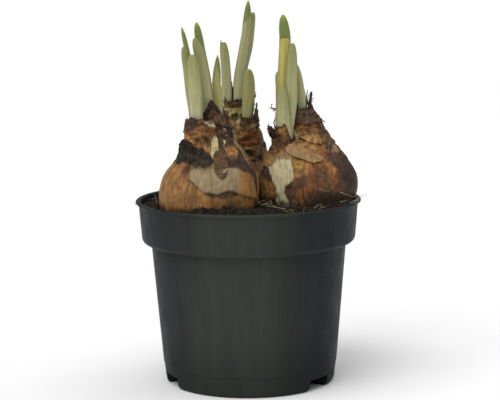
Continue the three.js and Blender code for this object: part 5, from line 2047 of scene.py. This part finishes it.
def right_bulb() -> Bulb:
    """Gives the front right bulb: reddish brown, with a cream tear and a peeled tan strip."""
    colours = paints(
        rust=(tint(94, 52, 27), tint(166, 102, 54)),
        dust=(tint(44, 36, 29), tint(98, 82, 64)),
        worn=(tint(124, 96, 62), tint(170, 138, 94)),
        gold=(tint(112, 76, 34), tint(184, 140, 76)),
        cream=(tint(164, 150, 112), tint(218, 206, 170)),
        dark=(tint(44, 33, 28), tint(98, 76, 58)),
        brown=(tint(64, 44, 30), tint(124, 88, 56)),
    )
    crisp = {Mark.WORN: 0.4, Mark.CREAM: 0.7}
    colours = tuple(replace(paint, soft=max(paint.soft, crisp.get(paint.mark, 1.8))) for paint in colours)
    finish = TunicFinish("tunic_right", tint(78, 58, 44), tint(32, 22, 17), tint(20, 14, 11), colours, 11.0)
    body = (
        (-22, 31, 2, 7, 7),
        (-16, 31.3, 2, 15, 14.6),
        (-8, 31.6, 2, 22, 21),
        (0, 31.8, 2, 24.8, 23.8),
        (7, 32.3, 2, 25.5, 24.4),
        (13, 32.2, 2, 25, 23.4),
        (18, 31.5, 2, 23.1, 21.2),
        (24, 30.6, 2, 19.8, 17.4),
        (28, 29.8, 2.2, 16.8, 13.6),
        (31, 29.2, 2.4, 12.6, 9.6),
    )
    patches = {
        Mark.RUST: (
            ((180, 32), (232, 31), (246, 24), (260, 23.5), (288, 22), (306, 21), (308, 16.5), (307, 11.5),
             (308, 6), (294, 6), (279, 6.5), (276, 3), (274, -3), (254, -3), (250, 6), (249, 18),
             (233, 21.5), (195, 20.5), (180, 22)),
            ((215, 29.5), (240, 30), (258, 27), (280, 24), (291, 27.6), (302, 30), (312, 29), (304, 25),
             (299, 20.5), (272, 22), (245, 24)),
        ),
        Mark.GOLD: (
            ((250, 22.8), (272, 21.5), (270, 16), (264, 13.5), (257, 13.5), (251, 15.5)),
            ((226, 31), (262, 31), (290, 30.6), (300, 30), (300, 27), (284, 25.6), (258, 28), (240, 30)),
            ((299, 20.5), (305, 20), (306, 17), (303, 14.5), (300, 14)),
            ((255, 5), (261, 5.5), (264, 3), (262, 0), (257, 0)),
            ((185, 12), (211, 12.5), (219, 10), (226, 6.5), (226, 2.5), (213, 1), (190, 2)),
        ),
        Mark.BROWN: (
            ((285, 18), (295, 18.5), (299, 12), (308, 14), (307, 6), (284, 7)),
            ((262, 7.4), (278, 7), (278, -3), (262, -3)),
        ),
        Mark.DARK: (
            ((249, 13.4), (251.5, 13), (253, 7), (254, 2.5), (254, -3), (248, -3), (246, 1.5), (241, 5.2),
             (240, 7.4), (245, 8.6)),
            ((175, 20), (200, 20.2), (208, 15.5), (217, 12), (199, 13.8), (175, 15)),
            ((252, 12.5), (258, 13), (261, 17), (266, 16), (266, 9.5), (260, 8), (253, 7)),
            ((277, 18.5), (282, 19), (283, 14), (280, 9), (275, 8.5), (274.5, 14)),
            ((290, 16), (293, 16), (292, 11), (289, 12)),
            ((306, 25), (332, 25), (326, 20), (312, 19.6), (306, 21)),
        ),
        Mark.WORN: (
            ((212, 21), (250.5, 21.5), (250.5, 25.6), (232, 26.4), (212, 25)),
            ((336, 29), (352, 29), (336, 25), (318, 25.6)),
        ),
        Mark.CREAM: (
            ((203, 19.5), (213, 21.4), (225, 22.4), (236, 22.8), (247, 22.8), (250, 19), (250.5, 13.5),
             (248, 12), (244, 10.5), (240, 9), (239, 6), (242, 3.5), (246, 1), (248, -2), (231, -2),
             (228, 1), (231, 4), (226, 8.5), (218, 13.5), (210, 17.5)),
        ),
        Mark.DUST: (((276, 7), (288, 6.5), (308, 5), (346, 2.2), (350, -6), (277, -6), (275, 3)),),
    }
    strip_low = ((229, 29), (236, 28), (242, 26), (251, 24.5), (261, 23.5), (271, 22), (278, 21),
                 (288, 21.5), (296, 22.8))
    strip_top = ((229, 29.8), (234, 30.2), (247, 30.2), (266, 29), (275, 27.5), (286, 25.5), (296, 23.6))
    tunic_low = ((170, -4), (190, -4), (215, -4), (234, -3))
    tunic_top = ((170, 15), (189, 14), (199, 13.5), (211, 13), (217, 9.5), (224, 7.5), (229, 5.5), (232, 2),
                 (234, -1))
    flaps = (
        Flap(
            strip_low, strip_top, (0.9, 0.5, 0.3, 0.8), 0.0, 51, 0.35, (Mark.WORN,),
            {Mark.BROWN: (((229, 30.5), (262, 30.5), (268, 27.5), (262, 26), (245, 27.5), (236, 29.6)),)},
        ),
        Flap(tunic_low, tunic_top, (0.1, 0.5, 0.1, 0.9), 0.0, 52, 0.3),
        Flap(
            ((248, -4.4), (252, -5), (256, -4.4)), ((248, 1), (251, 2.8), (256, 1)), (2.6, 0.5, 1.2, 1.2),
            0.0, 53, 0.2, (Mark.WORN,), {},
        ),
    )
    left_nose = Nose(
        rows=((18, 17.5, -1, 9.6, 9.6), (25, 18.2, -1.6, 7.4, 8.2), (30, 18.9, -2, 6, 7.4),
              (34, 19, -2, 6.1, 7), (38, 17.8, -2, 7.2, 7.2), (41, 17.2, -2, 7.4, 7.4)),
        top=31.8, peaks=((205, 6.4, 70), (262, 6, 42), (286, 6, 22)), throat=(19.5, -1.7, 4.7, 5.6, 23),
        seed=5.3, tone=-0.1,
        collars=(
            Collar(30, 40.2, 0.4, -0.9, 195, 50, 4.0, 0.9),
            Collar(28, 37, 0.5, -0.7, 205, 55, 2.6, 0.7),
        ),
        patches={
            Mark.RUST: (((150, 33), (295, 33), (300, 25), (262, 26), (230, 27), (150, 29)),),
            Mark.GOLD: (
                ((150, 30), (230, 28), (262, 27), (300, 26), (300, 16), (150, 16)),
                ((256, 43), (306, 43), (302, 35.5), (274, 33.4), (256, 33.6), (248, 36)),
            ),
            Mark.BROWN: (
                ((150, 37), (244, 37), (264, 34), (293, 34), (300, 29.5), (262, 28), (210, 25), (150, 26)),
            ),
            Mark.DARK: (((150, 46), (251, 46), (258, 39.5), (250, 36), (235, 33.4), (150, 33)),),
            Mark.WORN: (((222, 24), (250, 24.6), (285, 23.6), (300, 22), (300, 16), (222, 16)),),
        },
    )
    right_nose = Nose(
        rows=((16, 33.2, 2.6, 17, 14.6), (22, 33.9, 3, 15.4, 12.8), (26, 34.2, 3.5, 14.4, 11.4),
              (31, 33.9, 4, 11.4, 9.7), (38.5, 32, 4.8, 8.6, 7.8), (45.5, 30, 5.2, 6.4, 6.2),
              (49, 29, 5.3, 5.2, 5.2)),
        top=46.8, peaks=((10, 8.6, 30), (150, 1.5, 40)), throat=(29.5, 5.2, 2.9, 2.7, 37), seed=6.1,
        tone=-0.1, collars=(Collar(42, 48.6, 0.3, -0.5, 280, 120, 1.0, 0.2),),
        patches={
            Mark.RUST: (
                ((222, 41.5), (257, 40.6), (290, 40), (302, 37), (296, 33), (246, 33), (224, 35)),
                ((222, 31), (248, 30), (270, 28), (286, 25), (298, 28), (303, 26), (298, 21), (272, 21),
                 (240, 23)),
            ),
            Mark.GOLD: (
                ((200, 37.6), (217, 38), (243, 40), (274, 39.4), (292, 36), (302, 32), (299, 28), (287, 24),
                 (270, 26.8), (248, 29), (226, 30), (205, 30.5)),
            ),
            Mark.BROWN: (
                ((180, 56), (360, 56), (308, 41.6), (280, 39.6), (224, 40), (180, 40)),
                ((238, 38.2), (273, 37.8), (271, 35.6), (240, 35.6)),
                ((258, 27), (268, 28), (280, 25.6), (288, 25), (288, 23.4), (264, 24.6)),
                ((306, 46), (330, 43), (340, 36), (345, 29), (330, 24), (303, 24.5), (296, 28), (300, 32),
                 (312, 37.5), (306, 42)),
            ),
            Mark.DARK: (
                ((220, 50), (278, 52), (345, 55), (319, 46), (309, 43), (280, 40.5), (253, 40.5),
                 (224, 41.5)),
                ((262, 36.4), (287, 36.8), (284, 34.8), (266, 34.4)),
                ((294, 30.5), (301, 30), (300, 24), (294, 25)),
                ((289, 25.6), (306, 24.6), (331, 22.5), (349, 17), (297, 18)),
            ),
            Mark.WORN: (((280, 33.6), (286, 33.8), (290, 33), (289, 31.6), (281, 31.8)),),
            Mark.CREAM: (((196, 37), (226, 36.4), (233, 34), (226, 30.4), (214, 29.6), (198, 30)),),
        },
        flaps=(
            Flap(
                ((215, 41), (245, 40), (262, 39.8), (285, 40.2), (310, 41.4), (350, 40)),
                ((215, 45), (260, 44.6), (310, 45), (350, 44)), (0.9, 0.1, 0.2, 0.2), -0.2, 54, 1.2,
            ),
            Flap(
                ((222, 31.4), (245, 32.6), (262, 30.6), (285, 29.4), (300, 30), (306, 31)),
                ((222, 37), (262, 37.4), (306, 38)), (1.0, 0.1, 0.2, 0.3), 0.1, 55, 1.2,
            ),
        ),
    )
    return Bulb(Slot.BULB_RIGHT, 4.9, finish, body, (left_nose, right_nose), patches, flaps)


def back_bulb() -> Bulb:
    """Gives the rear bulb: dark and fibrous, with an orange-brown cup and a pale green neck."""
    colours = paints(
        cream=(tint(150, 138, 88), tint(204, 192, 134)),
        rust=(tint(96, 54, 34), tint(186, 118, 64)),
        dark=(tint(46, 35, 26), tint(116, 88, 60)),
    )
    finish = TunicFinish("tunic_back", tint(160, 128, 84), tint(108, 82, 54), tint(58, 43, 30), colours, 21.0)
    body = (
        (-22, -5, 31, 6, 6),
        (-15, -5, 31, 13.4, 13.2),
        (-7, -5, 31, 18, 17.6),
        (2, -5, 31, 19.9, 19.4),
        (8, -4.9, 31, 19.6, 19.2),
        (15, -4.4, 30.5, 17, 16.6),
        (21, -4, 29.5, 14.4, 13.8),
        (27, -3.8, 28.5, 12, 11.4),
        (33, -3.6, 27, 9.8, 9),
        (38, -3.6, 26, 7.4, 6.4),
    )
    left_nose = Nose(
        rows=((26, -6.6, 29.2, 8.6, 8.4), (35, -7.3, 28.8, 6.6, 6.6), (42, -7.6, 28.6, 5.8, 5.8),
              (52, -7.7, 28.5, 5.5, 5.4)),
        top=49.4, peaks=((215, 2.4, 24), (300, 1, 30), (60, 2, 45)), throat=(-7.8, 28.5, 4.7, 4.6, 36),
        seed=9.4, tone=0.0, collars=(Collar(45, 52.2, 0.35, -0.3, 270, 140, 1.6, 0.5),),
        patches={
            Mark.GOLD: (
                ((236, 50.6), (262, 50.2), (290, 49.4), (312, 50), (306, 48.4), (275, 48.2), (244, 49)),
            ),
            Mark.BROWN: (
                ((180, 54), (360, 54), (330, 45.4), (300, 46.4), (270, 45), (222, 46.2), (180, 40)),
            ),
            Mark.CREAM: (
                ((218, 46.4), (325, 46.4), (345, 40), (345, 30), (275, 30), (250, 33), (225, 40)),
            ),
        },
        flaps=(
            Flap(
                ((260, 40.4), (268, 39.9), (283, 40), (292, 42)),
                ((260, 42.4), (272, 43.2), (284, 44), (292, 43.4)), (0.3, 0.7, 0.1, 0.2), 0.1, 61, 0.2,
                (Mark.BROWN,), {},
            ),
        ),
    )
    cup_low = ((231, 28), (243, 27), (265, 26), (279, 25.8), (305, 26.6), (325, 30), (334, 32))
    cup_top = ((231, 29.2), (251, 31), (270, 33), (295, 34.6), (322, 35), (334, 34))
    right_nose = Nose(
        rows=((18, -1, 25.4, 10.4, 9.2), (28, -0.2, 23, 7.6, 7.2), (33, 0.2, 21.8, 6.5, 6.2),
              (40, 0.2, 21.2, 5.7, 5.4), (46, 0, 21, 5.3, 5.2)),
        top=40.4, peaks=((340, 8, 48), (15, 4, 40)), throat=(0.7, 21, 4.1, 2.9, 30), seed=10.7, tone=-0.3,
        collars=(Collar(35, 43.4, 0.4, -0.8, 320, 80, 2.0, 0.4),),
        patches={
            Mark.GOLD: (
                ((190, 38), (228, 39), (240, 34), (262, 34.5), (300, 36), (322, 36.4), (334, 31), (300, 29),
                 (231, 28), (190, 30)),
            ),
            Mark.DARK: (((234, 50), (360, 50), (340, 37), (313, 35.8), (258, 36), (240, 36.4), (234, 39)),),
            Mark.WORN: (((281, 38), (312, 38.2), (314, 36.8), (284, 36.6)),),
            Mark.CREAM: (
                ((180, 46), (228, 46), (231, 41.5), (221, 37.5), (214, 32), (180, 32)),
                ((233, 28.2), (243, 27), (265, 26), (279, 25.8), (305, 26.6), (305, 25.4), (270, 24.6),
                 (236, 26)),
            ),
        },
        flaps=(
            Flap(
                cup_low, cup_top, (0.2, 1.0, 0.3, 0.5), 0.0, 62, 0.25, (Mark.RUST,),
                {
                    Mark.GOLD: (((290, 33), (318, 34), (325, 31), (300, 28), (292, 29)),),
                    Mark.DARK: (((239, 29.4), (262, 31), (277, 31.4), (276, 29), (267, 28.2)),),
                },
            ),
        ),
    )
    return Bulb(Slot.BULB_BACK, 8.2, finish, body, (left_nose, right_nose))


LEAF_FINISHES = (
    LeafFinish(LeafTone.PALE, tint(206, 202, 166), tint(186, 183, 132), tint(160, 164, 104), 1.0),
    LeafFinish(LeafTone.WARM, tint(200, 196, 140), tint(180, 174, 104), tint(156, 156, 84), 5.0),
    LeafFinish(LeafTone.GREEN, tint(196, 194, 150), tint(166, 168, 112), tint(140, 150, 88), 9.0),
    LeafFinish(LeafTone.YELLOW, tint(192, 188, 132), tint(192, 184, 96), tint(204, 194, 92), 13.0),
)

LEAVES = (
    Leaf(
        "leaf_left_front", -23.3, -1.6, 2.5, 0.7, 0.75,
        ((33.5, -26.5, 5.4), (45, -26.4, 7), (58, -26.8, 7.5), (70, -27.1, 6.3)), (78.6, -27.8),
    ),
    Leaf(
        "leaf_left_spear", -20.9, 0.2, 1.5, 0.3, 1.2,
        ((33.5, -26.6, 4.6), (52, -26.9, 4), (66, -28.6, 3.2), (78, -30.2, 2.9), (84, -31.3, 2.5)),
        (92.5, -33.1), LeafTone.GREEN, ((-40, 62), (-20, 62), (-20, 100), (-40, 100)),
    ),
    Leaf(
        "leaf_left_rear", -18.9, 1.8, 2, 0.3, 0.8,
        ((33.5, -26.8, 4.8), (47, -27.2, 6), (60, -28.6, 6.5), (72, -30.2, 5.7)), (82.4, -32.1),
        LeafTone.WARM,
    ),
    Leaf(
        "leaf_middle_sheath", -13.9, -1.2, 2, 0.5, 1.1,
        ((36.5, -20.4, 6.6), (49, -20.2, 6.4), (60, -21.2, 6.2), (70, -22.9, 6.4), (77.5, -24.2, 5.8)),
        (86.6, -26.7),
    ),
    Leaf(
        "leaf_middle_inner", -11.3, 1, 2, 0.3, 0.9,
        ((36.5, -19.2, 4.2), (50, -19.4, 5), (65, -21.6, 5.8), (76, -23.4, 5.6), (84, -24.2, 4.4)),
        (94.3, -25.8), LeafTone.GREEN,
        ((-32, 93), (-26.2, 86.1), (-22, 81.1), (-16, 73.5), (-16, 100), (-32, 100)),
    ),
    Leaf(
        "leaf_middle_small", -12.6, -1.6, 1.9, 0.2, 1.5,
        ((36.5, -14.5, 4.2), (50, -15.1, 4.9), (57, -15.3, 4.5), (62.5, -15.8, 4.5)), (77.6, -15),
        LeafTone.WARM, ((-18, 74.6), (-15.8, 73.4), (-14.3, 67), (-13.6, 60), (-12, 80), (-18, 80)),
    ),
    Leaf(
        "leaf_back_left", 26.6, -1.6, 2.1, 0.4, 0.7,
        ((36.5, -10.6, 5), (49, -11, 5.6), (56, -11.1, 5.8), (61, -11.1, 5.5), (70, -11.5, 5.1)),
        (82.1, -12.1),
    ),
    Leaf(
        "leaf_back_left_inner", 29.4, -0.6, 1.6, 0.2, 1.5,
        ((36.5, -10, 3.6), (55, -11, 3.8), (70, -12.4, 3.2)), (83, -13.9), LeafTone.GREEN,
        ((-20, 76), (0, 76), (0, 90), (-20, 90)),
    ),
    Leaf(
        "leaf_back_tall", 27.4, 1, 2.2, 0.5, 1.1,
        ((36.5, -5.6, 3.7), (50, -5.3, 4.6), (62, -4.4, 5.6), (75, -2, 5.4), (87, 0.1, 4.9)), (104.1, 1.3),
        LeafTone.PALE, ((-6, 87.4), (-1, 92.3), (3.4, 96.6), (8, 101), (8, 112), (-6, 112)),
    ),
    Leaf(
        "leaf_back_tall_rear", 30.2, 2.6, 1.9, 0.2, 0.7,
        ((36.5, -5.5, 3.7), (52, -4.8, 4.4), (67, -1.8, 4.8), (79, 1, 4.8), (90, 2.9, 3.8)), (97.7, 3.9),
    ),
    Leaf(
        "leaf_back_right", 21.2, -1.6, 2.8, 0.6, 0.85,
        ((30.5, 0.4, 4.8), (41, 0.3, 5.8), (50, 0.8, 6.9), (57, 1, 6.8)), (67.7, 1.1), LeafTone.WARM,
    ),
    Leaf(
        "leaf_right_front", -5.9, -1.4, 2.2, 0.6, 0.9,
        ((23.5, 20.4, 4.6), (33, 20.1, 7), (41, 18.9, 8.5), (49, 18.5, 7)), (59.5, 18.8), fold=54.4,
    ),
    Leaf(
        "leaf_right_wide", -3.2, -0.6, 2, 0.4, 0.95,
        ((23.5, 20.4, 5), (36, 22, 4.6), (50, 23.6, 5.4), (62, 23.5, 6.1), (70, 23.9, 5.5)), (82.7, 24.4),
    ),
    Leaf(
        "leaf_right_sheath", -0.9, 0.3, 1.7, 0.3, 0.3,
        ((23.5, 19.4, 5.4), (40, 18.9, 5.6), (60, 19, 6), (76, 20, 6.2)), (84.9, 20.4), LeafTone.YELLOW,
    ),
    Leaf(
        "leaf_right_tall", 1.3, 0.8, 2, 0.2, 0.95,
        ((23.5, 19.2, 5), (40, 18.9, 5.6), (60, 19.2, 6), (76, 20.4, 6.5), (86, 20.5, 5.9)), (97.3, 19.4),
        LeafTone.GREEN, ((8, 76), (30, 76), (30, 104), (8, 104)),
    ),
    Leaf(
        "leaf_right_rear", 3.3, 1.8, 1.4, 0.1, 0.8,
        ((23.5, 18.4, 3.6), (42, 17.8, 4.4), (53, 17.5, 4.6), (60, 17.2, 4)), (67, 16.5),
    ),
    Leaf(
        "leaf_right_side", 5.2, 1, 2.3, 0.4, 1.2,
        ((37.5, 29.3, 4.3), (47, 29.3, 4.6), (54, 28.9, 4.8), (60, 28.2, 4.1)), (71, 26.7),
    ),
)

def root(node: str, path: Path, wobble: float, radius: float = 0.2) -> Strands:
    """Gives the fibre of one loose root.

    Args:
        node: Node of the root.
        path: Path of the root.
        wobble: How far it strays from its path.
        radius: Its radius.

    Returns:
        The fibre.
    """
    return Strands(node + "_fibre", (path,), radius, Slot.ROOT, (node,), wobble=wobble)


def shreds(slot: Slot, paths: tuple[Path, ...]) -> Strands:
    """Gives the loose dark shreds of a bulb.

    Args:
        slot: The bulb's slot.
        paths: Path of each shred.

    Returns:
        The shreds.
    """
    name = slot.value.removeprefix("bulb_") + "_shreds"
    return Strands(name, paths, 0.75, slot, (slot.value,), flat=0.55, wobble=1.2, seed=8.0)


STRANDS = (
    root(
        "root_upright",
        ((5.6, -6, -6), (5.4, -6.2, -1), (4.9, -5.6, 5), (5.2, -4.2, 11), (6.2, -3.4, 15.5)),
        1.2, 0.24,
    ),
    root(
        "root_loop",
        ((9.5, -10, -6), (9.6, -9.8, -1), (7.4, -12, 0.4), (5.6, -16, -0.2), (8.5, -19, -0.4),
         (12.4, -17, -0.2), (11, -13.6, 0.3)),
        1.6,
    ),
    root(
        "root_long",
        ((7, -23.5, -6), (7.2, -23.6, -1.4), (10, -24.6, -0.6), (15, -27.4, -1), (19.5, -31.2, -1.2),
         (23.6, -35, -1.5)),
        1.2,
    ),
    root(
        "root_right",
        ((53.5, -12, -6), (53.8, -13, -0.6), (52.4, -17.6, 1), (49.6, -22.4, 1.4), (45, -27, 0.4)),
        1.6,
    ),
    Strands(
        "fine_roots",
        (
            ((28.1, -45, -1.4), (28.3, -45, 0.8), (28.9, -44.6, 2)),
            ((34.2, -36.2, 0), (35.6, -30, 0.4), (37.3, -29, 1), (37.8, -30, 0.2), (36.6, -31, -0.4)),
            ((36.7, -34, -0.8), (40.3, -26.8, -0.6), (43.7, -22, -0.3), (47, -19, 0.2)),
            ((9.6, -13, -0.4), (11.5, -17, -0.8), (13.9, -22, -0.9), (16.9, -30.4, -0.9),
             (20.2, -40.8, -0.9), (24, -50, -0.8)),
            ((34, -21.8, 9), (35.8, -22.2, 8.2), (37.9, -22.4, 7.1), (40.5, -22, 6)),
            ((48, -20, 5.6), (51.5, -21, 4.4), (54.6, -21.4, 3.2), (57.5, -20, 4.4)),
            ((54.5, -22, 0), (57.2, -22, 2.8), (59.2, -22, 4.3), (62.4, -22, 4.3)),
            ((5.1, -24.1, 0.6), (7.2, -16, 0.9), (9.4, -12, 1), (11.5, -13, 0.8), (12.3, -22, 0.6),
             (10.2, -28, 0.6), (7.6, -26, 0.6)),
            ((6.6, -30, 0.8), (9.2, -22.3, 0.8), (11.9, -15.5, 0.8), (13.4, -10, 1), (11.7, -6, 1.2),
             (8.4, -9, 0.8)),
            ((36.6, -22, 8.6), (38.4, -22, 7.8), (41, -22, 6.6), (42.4, -22, 6.4)),
            ((57, -19, 1), (58.4, -20, 3), (60.4, -20, 3.2), (61.6, -20, 5.4)),
            ((52.8, -25.9, 0.8), (55.7, -20, 1.4), (57.3, -21.2, 0.8), (55.8, -24.1, 0.3), (54, -22.5, 0.8)),
            ((-59.5, -8, -1.8), (-60.4, -9, 0.4), (-61.2, -9, 1.6)),
        ),
        0.14, Slot.ROOT, ("root_long", "root_right"), wobble=1.1, seed=3.0,
    ),
    Strands(
        "pale_chip", (((-47.7, -10, -1.6), (-48.6, -10, 1.8), (-49.4, -10.4, 4.6)),), 0.8, Slot.ROOT,
        ("soil",), flat=0.35, wobble=0.3, seed=5.0,
    ),
    shreds(
        Slot.BULB_LEFT,
        (
            ((-30.2, -21, 43.4), (-31, -21, 45), (-31.4, -21, 46.4)),
            ((-31, -21, 39), (-32.2, -21, 39.4), (-32.6, -21, 38.4)),
            ((-31, -21, 36.4), (-32, -21, 35.6), (-32, -21, 34.4)),
            ((-34.6, -20, 27), (-35.2, -20, 30), (-34.9, -20, 33)),
            ((-33.4, -20, 28), (-33.6, -20, 31), (-32.6, -20, 33.6)),
        ),
    ),
    shreds(
        Slot.BULB_RIGHT,
        (
            ((31.2, 6, 45), (31.6, 6, 49), (31.8, 6, 53), (32.4, 6, 57)),
            ((33, 6, 44), (33.4, 6, 48), (33.2, 6, 51), (34.6, 6, 51.8), (35.3, 6, 52.9)),
            ((32.6, 5, 47), (33.8, 5, 50), (34, 5, 53), (34.3, 5, 55.6)),
            ((32, 5.4, 44), (32.5, 5.4, 47.5), (32.2, 5.4, 51), (33, 5.4, 54.6)),
            ((32.9, 5, 43), (33.8, 5, 46.4), (33.6, 5, 50), (34.8, 5, 51)),
            ((26.9, 6.4, 44), (27, 6.4, 50), (26.8, 6.4, 56), (26.4, 6.4, 60)),
            ((12.6, -3, 36), (11.2, -3, 38), (11.6, -3, 40.4)),
            ((14.6, -3, 38), (14.2, -3, 41), (14.9, -3, 43.4)),
            ((13.6, -2, 46.8), (15.2, -2, 48), (13.4, -2, 48.2), (12.9, -2, 49), (12.6, -2, 50.2),
             (13.4, -2, 50.6)),
            ((13.4, -2, 48), (12.4, -2, 48.4), (11.6, -2, 48.6)),
            ((15.4, -3, 36), (14.8, -3, 38.4), (13.9, -3, 40.8)),
            ((13.4, -3, 34), (11.6, -3, 36.4), (10.2, -3, 36.2)),
            ((13.4, -3, 35), (11.4, -3, 38), (10.4, -3, 38.4)),
        ),
    ),
    shreds(
        Slot.BULB_BACK,
        (
            ((3.2, 21, 40), (4.2, 21, 44.2), (3.4, 21, 47), (4.8, 21, 48.8)),
            ((5.4, 20, 36), (6.2, 20, 37.6), (5.8, 20, 39)),
            ((3.6, 21, 52), (4.6, 21, 53), (4.2, 21, 54.6), (5.4, 21, 55.2)),
            ((-8, 29.4, 46), (-7.9, 29.4, 51), (-8, 29.4, 56), (-8.2, 29.4, 60.6)),
            ((-7.4, 29.4, 46), (-7.3, 29.4, 51), (-7.6, 29.4, 57)),
        ),
    ),
)


def main() -> None:
    """Builds every piece in order and reports it."""
    logging.basicConfig(level=logging.INFO, format="%(name)s: %(message)s")
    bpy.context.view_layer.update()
    Studio().build()
    effects = Effects()
    pot = Pot()
    pot.build(effects)
    bulbs = (left_bulb(), right_bulb(), back_bulb())
    Peat(pot, [bulb.body for bulb in bulbs]).build(effects)
    for bulb in bulbs:
        bulb.build(effects)
    finishes = {finish.kind: finish.material(effects) for finish in LEAF_FINISHES}
    for leaf in LEAVES:
        leaf.build(finishes)
    tree = fibre_tree()
    root = FibreFinish("dry_root", tint(196, 182, 144), tint(132, 116, 86)).material(effects)
    shred = FibreFinish("dark_shred", tint(64, 48, 36), tint(28, 22, 18)).material(effects)
    for strands in STRANDS:
        strands.build(tree, root if strands.slot is Slot.ROOT else shred)


if __name__ == "__main__":
    main()
